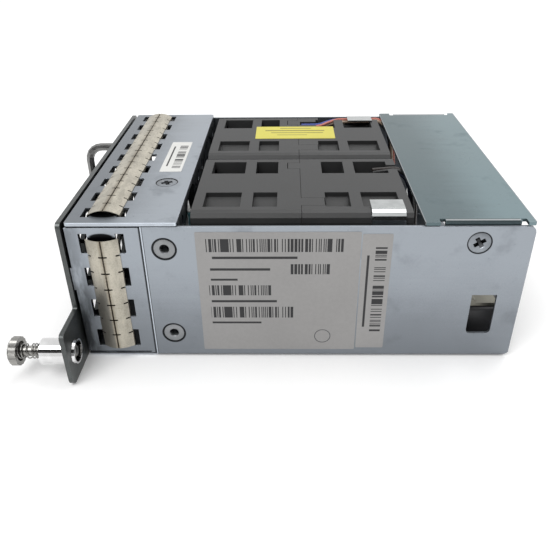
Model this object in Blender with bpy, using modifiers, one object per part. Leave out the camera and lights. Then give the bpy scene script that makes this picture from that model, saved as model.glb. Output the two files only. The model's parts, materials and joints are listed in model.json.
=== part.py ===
"""Switch fan tray: a shallow sheet-metal drawer with two counter-rotating fans side by side.

X runs from the face plate (-X) to the open rear (+X), the side with the captive screw is -Y, and
Z is up. The origin is the middle of the tray floor's underside. All sizes are in metres.
"""
import bmesh
import bpy
from math import asin, cos, hypot, pi, radians, sin
from mathutils import Matrix, Vector

OBJECT_NAME = "switch_fan_tray"

# Fans, which set the size of the body round them
FAN_SIDE = 0.0400
FAN_LENGTH = 0.0562
FAN_GAP = 0.0011
FAN_SHIFT_Y = 0.0011
FAN_FRONT_GAP = 0.0026
FAN_FLOOR_GAP = 0.0002
FAN_SIDE_ROOM = 0.00395

# Sheet-metal body
SHEET = 0.0008
SEAT = 0.00015
BEND_RADIUS = 0.0012
SEAM_FROM_FRONT = 0.0186
LAP_LENGTH = 0.0093
REAR_CHAMBER = 0.0271
WALL_DROP = 0.00105
REAR_CORNER_RADIUS = 0.0017
REAR_FOOT_CHAMFER = 0.0014

# Front frame
FRAME_TOP_DROP = 0.00125
TOP_FLANGE = 0.0030
FRONT_FLANGE = 0.0034
LUG_LOW = 0.0217
LUG_HEIGHT = 0.0066
CREASE_HEIGHT = 0.0005
CREASE_DEPTH = 0.0005

# Face plate with its ear
PLATE_THICKNESS = 0.0012
PLATE_GAP = 0.0007
PLATE_OVERHANG = 0.0005
PLATE_CORNER_RADIUS = 0.0012
EAR_REACH = 0.0123
EAR_HEIGHT = 0.0162
EAR_RADIUS = 0.0020
CELL_FLAT = 0.0056
CELL_WEB = 0.0011
GRILLE_SIDE_MARGIN = 0.0045
GRILLE_BOTTOM_MARGIN = 0.0042
GRILLE_TOP_MARGIN = 0.0040
HANDLE_MARGIN = 0.0012

# Handle
HANDLE_ROD = 0.0028
HANDLE_FROM_SIDE = 0.0115
HANDLE_REACH = 0.0148
HANDLE_SPACING = 0.0248
HANDLE_BEND = 0.0050
HANDLE_NECK = 0.0020
HANDLE_HEAD = 0.0036
HANDLE_HEAD_THICKNESS = 0.0005
HANDLE_HEAD_CHAMFER = 0.0004
HANDLE_NECK_ROOT = 0.0010

# Captive screw
SCREW_Y_FROM_EAR_TIP = 0.0055
SCREW_Z = 0.0074
FERRULE_NECK = 0.0066
FERRULE_FLANGE = 0.0003
FERRULE_WALL = 0.0005
FERRULE_LENGTH = 0.0075
FERRULE_BORE_CLEARANCE = 0.0001
FERRULE_RIM_FLARE = 0.0002
FERRULE_RIM_HEIGHT = 0.0007
FERRULE_CHAMFER = 0.0004
FERRULE_SHOULDER = 0.0006
SPRING_DIAMETER = 0.0044
SPRING_WIRE = 0.00036
SPRING_TURNS = 3.5
SPRING_STEPS = 10
SPRING_ROOM = 0.0005
SPRING_GAP = 0.0057
KNOB_DIAMETER = 0.0078
KNOB_LENGTH = 0.0024
KNOB_RECESS_DEPTH = 0.0013
KNOB_CROWN = 0.0005
KNOB_FLUTES = 18
FLUTE_DEPTH = 0.0002
SHANK_DIAMETER = 0.0028
THREAD_DIAMETER = 0.0034
THREAD_LENGTH = 0.0036
THREAD_RUNOUT = 0.0003
THREAD_CHAMFER = 0.0005
SCREW_TIP_BEHIND_PLATE = 0.0004

# Shielding gaskets
SLOT_PITCH = 0.0097
SLOT_LENGTH = 0.0055
SLOT_WIDTH = 0.0022
SLOT_LEFT = 0.0032
SLOT_RIGHT = 0.0124
TOP_SLOT_OFFSET = 0.0006
SIDE_SLOT_FIRST = 0.0063
HOOK_INSET_LEFT = 0.0016
HOOK_INSET_RIGHT = 0.0006
GASKET_SHEET = 0.00018
GASKET_RISE = 0.0011
GASKET_LIFT = 0.00005
FINGER_SLIT = 0.0005
HOOK_DEPTH = 0.0014
HOOK_TUCK = 0.97

# Rear cover
COVER_FAN_GAP = 0.0017
COVER_TAB_FRONT = 0.0037
COVER_TAB_REAR = 0.0020
COVER_NOTCH = 0.0014
COVER_FLANGE_DEPTH = 0.0090
COVER_EDGE_INSET = 0.0002
LID_CORNER_RADIUS = 0.0006

# Countersunk screws and flush rivets
RIVET_HEAD = 0.0058
RIVET_SHANK = 0.0030
RIVET_BORE = 0.0022
RIVET_TAIL = 0.0007
RIVET_TAIL_LENGTH = 0.0010
RIVET_FROM_LAP_END = 0.0037
RIVET_FROM_FLOOR = 0.0079
RIVET_FROM_TOP = 0.0072
SCREW_HEAD = 0.0056
SCREW_SHANK = 0.0028
LID_SCREW_LENGTH = 0.0040
LID_SCREW_TIP = 0.0004
HEAD_DEPTH = 0.00065
HEAD_RIM = 0.00012
HEAD_SINK = 0.00005
HOLE_EASE = 0.00010
COVER_SCREW_FROM_REAR = 0.0132
COVER_SCREW_FROM_TOP = 0.0056
STRIP_SCREW_FROM_LAP_END = 0.00655
STRIP_SCREW_Y = -0.0190

# Side window and rear connector
WINDOW_FROM_REAR = 0.0127
WINDOW_LENGTH = 0.0065
WINDOW_LOW = 0.0078
WINDOW_HIGH = 0.0201
WINDOW_RADIUS = 0.0012
CONNECTOR_LENGTH = 0.0110
CONNECTOR_WIDTH = 0.0230
CONNECTOR_HEIGHT = 0.0090
CONNECTOR_FROM_WALL = 0.0035
CONNECTOR_FROM_REAR = 0.0006
CONNECTOR_BASE = 0.0030
CONNECTOR_FOOT = 0.0030
CONTACT_COUNT = 6
CONTACT_PITCH = 0.0030
CONTACT_POCKET = 0.0017
CONTACT_DEPTH = 0.0045
BRACKET_SHEET = 0.0010
BRACKET_ABOVE = 0.0022
BRACKET_TOE = 0.0045
BRACKET_LIP = 0.0030
BRACKET_BACK = 0.0022
BRACKET_WINDOW_SIDE = 0.0030
BRACKET_WINDOW_RIM = 0.0012

# Fan housings
FAN_CORNER_RADIUS = 0.0026
FAN_WALL = 0.0012
TUBE_WALL = 0.00105
FAN_SCREW_FROM_SIDE = 0.0040
FAN_SCREW_HOLE = 0.0036
FAN_FLANGE = 0.0027
SEAM_LAND = 0.0063
POCKET_RIB = 0.0031
FRONT_POCKET_SHARE = 0.6
POCKET_RAIL = 0.0043
POCKET_REACH = 0.0090
SEAM_GAP = 0.0001
TAB_LONG = 0.0061
TAB_SHORT = 0.0035
TAB_WIDTH = 0.0046
TAB_THICKNESS = 0.0016
TAB_FROM_SIDE = 0.0051

# Impellers and motors
HUB_DIAMETER = 0.0210
HUB_WALL = 0.0010
HUB_SETBACK = 0.0012
HUB_BASE_GAP = 0.0035
HUB_CROWN = 0.0022
HUB_CROWN_DROP = 0.0020
HUB_BOSS = 0.0044
HUB_BOSS_LENGTH = 0.0045
BLADE_TIP_GAP = 0.0005
BLADE_END_INSET = 0.00075
BLADE_THICKNESS = 0.0011
BLADE_ROOT_SINK = 0.0006
FRONT_BLADES = 7
REAR_BLADES = 5
FRONT_ROOT_PITCH = radians(38)
FRONT_TIP_PITCH = radians(58)
REAR_ROOT_PITCH = radians(34)
REAR_TIP_PITCH = radians(54)
BASE_INSET = 0.0005
BASE_THICKNESS = 0.0014
STRUT_COUNT = 4
STRUT_WIDTH = 0.0016
STRUT_DEPTH = 0.0040
STRUT_SINK = 0.0006
SHAFT_DIAMETER = 0.0018
SHAFT_FIT = 0.00005
SHAFT_FROM_SEAM = 0.0015
SHAFT_FROM_HUB_END = 0.0006
BEARING_CLEARANCE = 0.0001
BEARING_WALL = 0.0020
BEARING_FIT = 0.00005
BEARING_LENGTH = 0.0025
BEARING_FROM_SEAM = 0.0018
BEARING_FROM_TUBE_END = 0.0002
BEARING_TUBE_WALL = 0.0006
BEARING_TUBE_SHARE = 0.62
MAGNET_FIT = 0.00015
MAGNET_WALL = 0.0009
MAGNET_LENGTH = 0.0080
MAGNET_FROM_HUB_END = 0.0003
MOTOR_GAP = 0.00025
STATOR_FIT = 0.00015
STATOR_FROM_BASE = 0.0012
COIL_SHARE = 0.78
STATOR_LENGTH = 0.0070
COIL_LENGTH = 0.0095

# Bulkhead in front of the fans
BULKHEAD_TOP_FLANGE = 0.0105
BULKHEAD_LIP = 0.0002

# Clips, harnesses and isolator pins
CLIP_WIDTH = 0.0085
CLIP_SHEET = 0.0004
CLIP_FROM_FAN_END = 0.0105
CLIP_ON_TOP = 0.0072
CLIP_DROP = 0.0130
CLIP_LIFT = 0.0002
HARNESS_DIAMETER = 0.0022
WIRE_CHANNEL_DEPTH = 0.00245
WIRE_CHANNEL_WIDTH = 0.0046
WIRE_CHANNEL_LENGTH = 0.0208
WIRE_NOTCH_LENGTH = 0.0060
WIRE_NOTCH_WIDTH = 0.0034
WIRE_SLOT_FROM_SEAM = 0.0008
WIRE_SLOT_FROM_SIDE = 0.0066
WIRE_REST = 0.0001
PIN_DIAMETER = 0.0011
PIN_CONE_HEIGHT = 0.0030
PIN_GROOVE = 0.0004
PIN_BELOW_TOP = 0.0004
PIN_BEFORE_FANS = 0.0017
PIN_BEHIND_FANS = 0.0009
PIN_Y = {"front": -0.0300, "rear": -0.0225}

ROUND_STEPS = 32
SMALL_STEPS = 16
BORE_STEPS = 26
OVERCUT = 0.001

BODY_WIDTH = 2 * FAN_SIDE + FAN_GAP + 2 * FAN_SIDE_ROOM
BODY_HEIGHT = FAN_SIDE + SHEET + FAN_FLOOR_GAP
HALF_WIDTH = BODY_WIDTH / 2
LAP_END_FROM_FRONT = SEAM_FROM_FRONT + LAP_LENGTH
FAN_FROM_FRONT = LAP_END_FROM_FRONT + FAN_FRONT_GAP
FAN_END_FROM_FRONT = FAN_FROM_FRONT + FAN_LENGTH
COVER_START_FROM_FRONT = FAN_END_FROM_FRONT + COVER_FAN_GAP
REAR_FROM_FRONT = COVER_START_FROM_FRONT + REAR_CHAMBER
FRONT_X = -(SEAM_FROM_FRONT + REAR_FROM_FRONT) / 2
PLATE_BACK_X = FRONT_X - PLATE_GAP
PLATE_FRONT_X = PLATE_BACK_X - PLATE_THICKNESS
PLATE_HALF = HALF_WIDTH + PLATE_OVERHANG
WALL_TOP = BODY_HEIGHT - WALL_DROP
FRAME_TOP = BODY_HEIGHT - FRAME_TOP_DROP
LID_UNDERSIDE = BODY_HEIGHT - SHEET
CELL_PITCH = CELL_FLAT + CELL_WEB
CELL_ROW_PITCH = CELL_PITCH * sin(pi / 3)
GRILLE_HALF_WIDTH = HALF_WIDTH - GRILLE_SIDE_MARGIN
GRILLE_HIGH = BODY_HEIGHT - GRILLE_TOP_MARGIN
HANDLE_Y = HALF_WIDTH - HANDLE_FROM_SIDE
SCREW_Y = -(PLATE_HALF + EAR_REACH) + SCREW_Y_FROM_EAR_TIP
FERRULE_DIAMETER = FERRULE_NECK + 2 * FERRULE_FLANGE
FERRULE_REAR_BORE = FERRULE_NECK - 2 * FERRULE_WALL
FERRULE_RIM = FERRULE_NECK + 2 * FERRULE_RIM_FLARE
FERRULE_FRONT_X = PLATE_FRONT_X - FERRULE_LENGTH
KNOB_RECESS = SPRING_DIAMETER + 2 * SPRING_ROOM
KNOB_BACK_X = FERRULE_FRONT_X - SPRING_GAP
KNOB_FRONT_X = KNOB_BACK_X - KNOB_LENGTH
THREAD_START_X = PLATE_BACK_X + SCREW_TIP_BEHIND_PLATE - THREAD_LENGTH
GASKET_LEFT = SLOT_LEFT + HOOK_INSET_LEFT
GASKET_WIDTH = SLOT_RIGHT + HOOK_INSET_RIGHT - GASKET_LEFT
TOP_SLOTS = int((BODY_WIDTH - 2 * BEND_RADIUS) / SLOT_PITCH + 0.5)
SIDE_SLOTS = int((FRAME_TOP - SIDE_SLOT_FIRST - SLOT_LENGTH / 2) / SLOT_PITCH) + 1
SIDE_MIDDLE = SIDE_SLOT_FIRST + SLOT_PITCH * (SIDE_SLOTS - 1) / 2
RIVET_FROM_FRONT = LAP_END_FROM_FRONT - RIVET_FROM_LAP_END
RIVET_HEIGHTS = (RIVET_FROM_FLOOR, BODY_HEIGHT - RIVET_FROM_TOP)
COVER_SCREW_FROM_FRONT = REAR_FROM_FRONT - COVER_SCREW_FROM_REAR
COVER_SCREW_HEIGHT = BODY_HEIGHT - COVER_SCREW_FROM_TOP
STRIP_SCREW_FROM_FRONT = LAP_END_FROM_FRONT - STRIP_SCREW_FROM_LAP_END
WINDOW_FROM_FRONT = REAR_FROM_FRONT - WINDOW_FROM_REAR
FAN_BORE = FAN_SIDE - 2 * FAN_WALL
FAN_TUBE = FAN_BORE + 2 * TUBE_WALL
FAN_SCREW_PITCH = FAN_SIDE - 2 * FAN_SCREW_FROM_SIDE
FAN_CENTRE_Z = BODY_HEIGHT - FAN_SIDE / 2
FAN_HALF_LENGTH = FAN_LENGTH / 2
FAN_PITCH = FAN_SIDE + FAN_GAP
FAN_Y = {"near": FAN_SHIFT_Y - FAN_PITCH / 2, "far": FAN_SHIFT_Y + FAN_PITCH / 2}
POCKET_ROOM = FAN_HALF_LENGTH - FAN_FLANGE - POCKET_RIB - SEAM_LAND
POCKET_END = FAN_HALF_LENGTH - SEAM_LAND
POCKET_START = POCKET_END - (1 - FRONT_POCKET_SHARE) * POCKET_ROOM
POCKET_SPANS = ((FAN_FLANGE, FAN_FLANGE + FRONT_POCKET_SHARE * POCKET_ROOM), (POCKET_START, POCKET_END))
HUB_LENGTH = FAN_HALF_LENGTH - HUB_SETBACK - BASE_THICKNESS - HUB_BASE_GAP
BASE_DIAMETER = HUB_DIAMETER - 2 * BASE_INSET
MAGNET_OUTER = HUB_DIAMETER - 2 * (HUB_WALL + MAGNET_FIT)
STATOR_DIAMETER = MAGNET_OUTER - 2 * (MAGNET_WALL + MOTOR_GAP)
BEARING_BORE = SHAFT_DIAMETER + 2 * BEARING_CLEARANCE
BEARING_OUTER = BEARING_BORE + 2 * BEARING_WALL
BEARING_TUBE = BEARING_OUTER + 2 * BEARING_TUBE_WALL
BEARING_TUBE_END = BASE_THICKNESS + HUB_LENGTH * BEARING_TUBE_SHARE
BULKHEAD_FROM_FRONT = LAP_END_FROM_FRONT - SHEET
BULKHEAD_FLANGE = LAP_LENGTH - SHEET
BULKHEAD_OPENING = FAN_BORE - 2 * BULKHEAD_LIP
CLIP_FROM_FRONT = FAN_END_FROM_FRONT - CLIP_FROM_FAN_END
CONNECTOR_Y = -(HALF_WIDTH - SHEET - CONNECTOR_FROM_WALL) + CONNECTOR_WIDTH / 2
CONNECTOR_REAR_X = FRONT_X + REAR_FROM_FRONT - CONNECTOR_FROM_REAR
PIN_TOP = BODY_HEIGHT - PIN_BELOW_TOP
PIN_FROM_FRONT = {"front": FAN_FROM_FRONT - PIN_BEFORE_FANS, "rear": FAN_END_FROM_FRONT + PIN_BEHIND_FANS}

for old in list(bpy.data.objects):
    bpy.data.objects.remove(old, do_unlink=True)

parts = bpy.data.collections.new(OBJECT_NAME)
cutters = bpy.data.collections.new(OBJECT_NAME + "_cutters")
bpy.context.scene.collection.children.link(parts)
bpy.context.scene.collection.children.link(cutters)


def at(distance):
    """World X of a point this far behind the body's front edge."""
    return FRONT_X + distance


def material(name, colour, roughness, metallic):
    """A Principled material with one colour."""
    made = bpy.data.materials.new(name)
    made.use_nodes = True
    shader = made.node_tree.nodes["Principled BSDF"]
    shader.inputs["Base Color"].default_value = (*colour, 1.0)
    shader.inputs["Roughness"].default_value = roughness
    shader.inputs["Metallic"].default_value = metallic
    made.diffuse_color = (*colour, 1.0)
    return made


def finish(obj, colour, roughness, metallic):
    """Give a sub-part its own material."""
    obj.data.materials.clear()
    obj.data.materials.append(material(obj.name, colour, roughness, metallic))
    return obj


def link_mesh(name, mesh, collection=parts, matrix=Matrix.Identity(4)):
    """Put a mesh in the scene as a named object."""
    obj = bpy.data.objects.new(name, mesh)
    collection.objects.link(obj)
    obj.matrix_world = matrix
    if collection is cutters:
        obj.hide_render = True
        obj.display_type = "WIRE"
    return obj


def smooth(obj, angle=radians(32)):
    """Shade round faces smooth and keep the real edges sharp."""
    obj.data.shade_smooth()
    obj.data.set_sharp_from_angle(angle=angle)
    return obj


def rounded(corners, steps=3):
    """Turn (u, v, radius) corners into outline points, with an arc at each rounded corner."""
    points = []
    count = len(corners)
    for index, (u, v, radius) in enumerate(corners):
        corner = Vector((u, v))
        if radius <= 0.0:
            points.append(corner)
            continue
        before = (Vector(corners[index - 1][:2]) - corner).normalized()
        after = (Vector(corners[(index + 1) % count][:2]) - corner).normalized()
        half = before.angle(after) / 2
        centre = corner + (before + after).normalized() * (radius / sin(half))
        reach = radius * cos(half) / sin(half)
        start = corner + before * reach - centre
        end = corner + after * reach - centre
        turn = start.angle_signed(end)
        for step in range(steps + 1):
            points.append(centre + Matrix.Rotation(-turn * step / steps, 2) @ start)
    return points


def ring(u, v, radius, steps=ROUND_STEPS, phase=0.0):
    """Outline points of a circle."""
    return [
        Vector((u + radius * cos(phase + 2 * pi * k / steps), v + radius * sin(phase + 2 * pi * k / steps)))
        for k in range(steps)
    ]


def rectangle(u0, u1, v0, v1, radius=0.0, steps=2):
    """Outline points of a rectangle with equal corner radii."""
    return rounded([(u0, v0, radius), (u1, v0, radius), (u1, v1, radius), (u0, v1, radius)], steps)


PLANES = {
    "XY": Matrix.Identity(4),
    "YZ": Matrix(((0, 0, 1, 0), (1, 0, 0, 0), (0, 1, 0, 0), (0, 0, 0, 1))),
    "XZ": Matrix(((1, 0, 0, 0), (0, 0, -1, 0), (0, 1, 0, 0), (0, 0, 0, 1))),
}


def extruded(name, loops, plane, start, end, collection=parts):
    """A flat outline with its holes, extruded between two levels along the plane's normal."""
    curve = bpy.data.curves.new(name, "CURVE")
    curve.dimensions = "2D"
    curve.fill_mode = "BOTH"
    curve.extrude = abs(end - start) / 2
    for loop in loops:
        spline = curve.splines.new("POLY")
        spline.points.add(len(loop) - 1)
        for point, (u, v) in zip(spline.points, loop):
            point.co = (u, v, 0.0, 1.0)
        spline.use_cyclic_u = True
    flat = bpy.data.objects.new(name + "_outline", curve)
    collection.objects.link(flat)
    level = (start + end) / 2
    normal = -level if plane == "XZ" else level
    flat.matrix_world = PLANES[plane] @ Matrix.Translation((0, 0, normal))
    bpy.context.view_layer.update()
    evaluated = flat.evaluated_get(bpy.context.evaluated_depsgraph_get())
    mesh = bpy.data.meshes.new_from_object(evaluated)
    matrix = flat.matrix_world.copy()
    bpy.data.objects.remove(flat, do_unlink=True)
    shape = bmesh.new()
    shape.from_mesh(mesh)
    bmesh.ops.remove_doubles(shape, verts=shape.verts, dist=0.000001)
    bmesh.ops.recalc_face_normals(shape, faces=shape.faces)
    shape.to_mesh(mesh)
    shape.free()
    return link_mesh(name, mesh, collection, matrix)


def boxes(name, spans, collection=cutters):
    """Separate boxes in one mesh, each given as (x0, x1, y0, y1, z0, z1)."""
    shape = bmesh.new()
    for x0, x1, y0, y1, z0, z1 in spans:
        middle = Matrix.Translation(((x0 + x1) / 2, (y0 + y1) / 2, (z0 + z1) / 2))
        size = Matrix.Diagonal((abs(x1 - x0), abs(y1 - y0), abs(z1 - z0), 1.0))
        bmesh.ops.create_cube(shape, size=1.0, matrix=middle @ size)
    mesh = bpy.data.meshes.new(name)
    shape.to_mesh(mesh)
    shape.free()
    return link_mesh(name, mesh, collection)


AIM = {
    "+X": Matrix.Rotation(pi / 2, 4, "Y"),
    "-X": Matrix.Rotation(-pi / 2, 4, "Y"),
    "+Y": Matrix.Rotation(-pi / 2, 4, "X"),
    "-Y": Matrix.Rotation(pi / 2, 4, "X"),
    "+Z": Matrix.Identity(4),
}


def turned(name, profile, place, aim="+Z", steps=ROUND_STEPS, closed=False, collection=parts):
    """A turned solid from (radius, height) points that run down the outer side."""
    mesh = bpy.data.meshes.new(name)
    edges = [(k, k + 1) for k in range(len(profile) - 1)]
    if closed:
        edges.append((len(profile) - 1, 0))
    mesh.from_pydata([(radius, 0.0, height) for radius, height in profile], edges, [])
    obj = link_mesh(name, mesh, collection, Matrix.Translation(place) @ AIM[aim])
    screw = obj.modifiers.new("turn", "SCREW")
    screw.steps = steps
    screw.render_steps = steps
    screw.use_merge_vertices = True
    screw.merge_threshold = 0.000001
    screw.use_smooth_shade = True
    return obj


def bar(name, radius, start, end, place, aim="+Z", steps=ROUND_STEPS, collection=cutters):
    """A plain round bar between two heights."""
    profile = [(0.0, end), (radius, end), (radius, start), (0.0, start)]
    return turned(name, profile, place, aim, steps, collection=collection)


def tube(name, outer, inner, start, end, place, aim="+Z", steps=ROUND_STEPS, collection=parts):
    """A plain tube between two heights."""
    profile = [(outer, end), (outer, start), (inner, start), (inner, end)]
    return turned(name, profile, place, aim, steps, closed=True, collection=collection)


def combine(target, others, operation):
    """Cut others from the target, or join them to it, with exact Booleans."""
    for other in others:
        modifier = target.modifiers.new(operation.lower(), "BOOLEAN")
        modifier.operation = operation
        modifier.object = other
        modifier.solver = "EXACT"
    return target


def rod(name, points, diameter, collection=parts, resolution=2, bends=0.0, steps=5):
    """A round rod or cord along a route, with filled and welded ends."""
    route = [Vector(point) for point in points]
    if bends > 0.0:
        route = bent(route, bends, steps)
    curve = bpy.data.curves.new(name, "CURVE")
    curve.dimensions = "3D"
    curve.bevel_depth = diameter / 2
    curve.bevel_resolution = resolution
    curve.use_fill_caps = True
    spline = curve.splines.new("POLY")
    spline.points.add(len(route) - 1)
    for point, place in zip(spline.points, route):
        point.co = (*place, 1.0)
    guide = bpy.data.objects.new(name + "_route", curve)
    collection.objects.link(guide)
    bpy.context.view_layer.update()
    evaluated = guide.evaluated_get(bpy.context.evaluated_depsgraph_get())
    mesh = bpy.data.meshes.new_from_object(evaluated)
    bpy.data.objects.remove(guide, do_unlink=True)
    shape = bmesh.new()
    shape.from_mesh(mesh)
    bmesh.ops.remove_doubles(shape, verts=shape.verts, dist=0.000001)
    bmesh.ops.recalc_face_normals(shape, faces=shape.faces)
    shape.to_mesh(mesh)
    shape.free()
    return link_mesh(name, mesh, collection)


def bent(route, radius, steps):
    """Round each inner corner of a route with an arc."""
    points = [route[0]]
    for before, corner, after in zip(route, route[1:], route[2:]):
        back = (before - corner).normalized()
        ahead = (after - corner).normalized()
        half = back.angle(ahead) / 2
        reach = radius * cos(half) / sin(half)
        centre = corner + (back + ahead).normalized() * (radius / sin(half))
        start = (corner + back * reach - centre).normalized()
        end = (corner + ahead * reach - centre).normalized()
        for step in range(steps + 1):
            points.append(centre + start.slerp(end, step / steps) * radius)
    points.append(route[-1])
    return points


def smooth_route(knots, steps=5):
    """Points of a smooth curve through a cord's own points."""
    padded = [knots[0], *knots, knots[-1]]
    points = []
    for a, b, c, d in zip(padded, padded[1:], padded[2:], padded[3:]):
        a, b, c, d = (Vector(v) for v in (a, b, c, d))
        for step in range(steps):
            t = step / steps
            straight = 2 * b + (c - a) * t
            curved = (2 * a - 5 * b + 4 * c - d) * t**2 + (3 * b - a - 3 * c + d) * t**3
            points.append((straight + curved) / 2)
    points.append(Vector(knots[-1]))
    return points


def countersink(name, head, shank, place, aim, depth=HEAD_DEPTH, through=SHEET * 2, steps=SMALL_STEPS):
    """The hole that a countersunk head sits in, with its axis pointing out of the sheet."""
    ease = HOLE_EASE
    profile = [
        (0.0, OVERCUT),
        (head / 2 + ease, OVERCUT),
        (head / 2 + ease, -HEAD_RIM),
        (shank / 2 + ease, -depth),
        (shank / 2 + ease, -through),
        (0.0, -through),
    ]
    return turned(name, profile, place, aim, steps, collection=cutters)


def flat_head_screw(name, place, aim):
    """A countersunk screw without its drive recess."""
    length = LID_SCREW_LENGTH
    profile = [
        (0.0, -HEAD_SINK),
        (SCREW_HEAD / 2, -HEAD_SINK),
        (SCREW_HEAD / 2, -HEAD_RIM),
        (SCREW_SHANK / 2, -HEAD_DEPTH),
        (SCREW_SHANK / 2, -length + LID_SCREW_TIP),
        (SCREW_SHANK / 2 - LID_SCREW_TIP, -length),
        (0.0, -length),
    ]
    screw = turned(name, profile, place, aim, SMALL_STEPS)
    return finish(screw, SCREW_STEEL, 0.3, 1.0)


def u_profile(half, top, floor_low, sheet, bend):
    """Cross-section of a channel: two walls and a floor with rounded outer bends."""
    inner = half - sheet
    floor_high = floor_low + sheet
    inner_bend = max(bend - sheet, 0.0002)
    return rounded(
        [
            (-half, top, 0.0),
            (-half, floor_low, bend),
            (half, floor_low, bend),
            (half, top, 0.0),
            (inner, top, 0.0),
            (inner, floor_high, inner_bend),
            (-inner, floor_high, inner_bend),
            (-inner, top, 0.0),
        ]
    )


ZINC = (0.42, 0.45, 0.48)
ZINC_DARK = (0.28, 0.33, 0.35)
CHROME = (0.75, 0.75, 0.75)
PLASTIC = (0.07, 0.072, 0.075)
SCREW_STEEL = (0.60, 0.60, 0.58)


def tray_channel():
    """The drawer's floor and side walls behind the front frame."""
    tray = extruded("tray_channel", [u_profile(HALF_WIDTH, WALL_TOP, 0.0, SHEET, BEND_RADIUS)], "YZ",
                    at(SEAM_FROM_FRONT) + SEAT, at(REAR_FROM_FRONT))
    rear = at(REAR_FROM_FRONT)
    spare = OVERCUT * 2
    corner = rounded([
        (rear - REAR_CORNER_RADIUS * 2, WALL_TOP + spare, 0.0),
        (rear - REAR_CORNER_RADIUS * 2, WALL_TOP, 0.0),
        (rear, WALL_TOP, REAR_CORNER_RADIUS),
        (rear, WALL_TOP - REAR_CORNER_RADIUS * 2, 0.0),
        (rear + spare, WALL_TOP - REAR_CORNER_RADIUS * 2, 0.0),
        (rear + spare, WALL_TOP + spare, 0.0),
    ])
    foot = [
        Vector((rear - REAR_FOOT_CHAMFER, -spare)),
        Vector((rear - REAR_FOOT_CHAMFER, 0.0)),
        Vector((rear, REAR_FOOT_CHAMFER)),
        Vector((rear + spare, REAR_FOOT_CHAMFER)),
        Vector((rear + spare, -spare)),
    ]
    wide = HALF_WIDTH + spare
    cuts = [extruded("tray_corner_cut", [corner], "XZ", -wide, wide, cutters)]
    for side, name in ((-1, "near"), (1, "far")):
        inner = side * (HALF_WIDTH - BEND_RADIUS * 2)
        outer = side * wide
        cuts.append(extruded("tray_foot_cut_" + name, [foot], "XZ", *sorted((inner, outer)), cutters))
    window = rounded([
        (at(WINDOW_FROM_FRONT), WINDOW_HIGH, 0.0),
        (at(WINDOW_FROM_FRONT), WINDOW_LOW, WINDOW_RADIUS),
        (at(WINDOW_FROM_FRONT + WINDOW_LENGTH), WINDOW_LOW, WINDOW_RADIUS),
        (at(WINDOW_FROM_FRONT + WINDOW_LENGTH), WINDOW_HIGH, 0.0),
    ])
    cuts.append(extruded("tray_window_cut", [window], "XZ", -wide, -HALF_WIDTH + spare, cutters))
    for side, aim, name in ((-1, "-Y", "near"), (1, "+Y", "far")):
        for height in RIVET_HEIGHTS:
            place = (at(RIVET_FROM_FRONT), side * HALF_WIDTH, height)
            cuts.append(countersink("tray_rivet_cut_" + name, RIVET_HEAD, RIVET_SHANK, place, aim))
        place = (at(COVER_SCREW_FROM_FRONT), side * HALF_WIDTH, COVER_SCREW_HEIGHT)
        cuts.append(countersink("tray_screw_cut_" + name, SCREW_HEAD, SCREW_SHANK, place, aim))
    combine(tray, cuts, "DIFFERENCE")
    return finish(tray, ZINC, 0.42, 0.9)


def slot_centres(count, middle):
    """Evenly pitched slot centres about a middle."""
    return [middle + SLOT_PITCH * (k - (count - 1) / 2) for k in range(count)]


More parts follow.
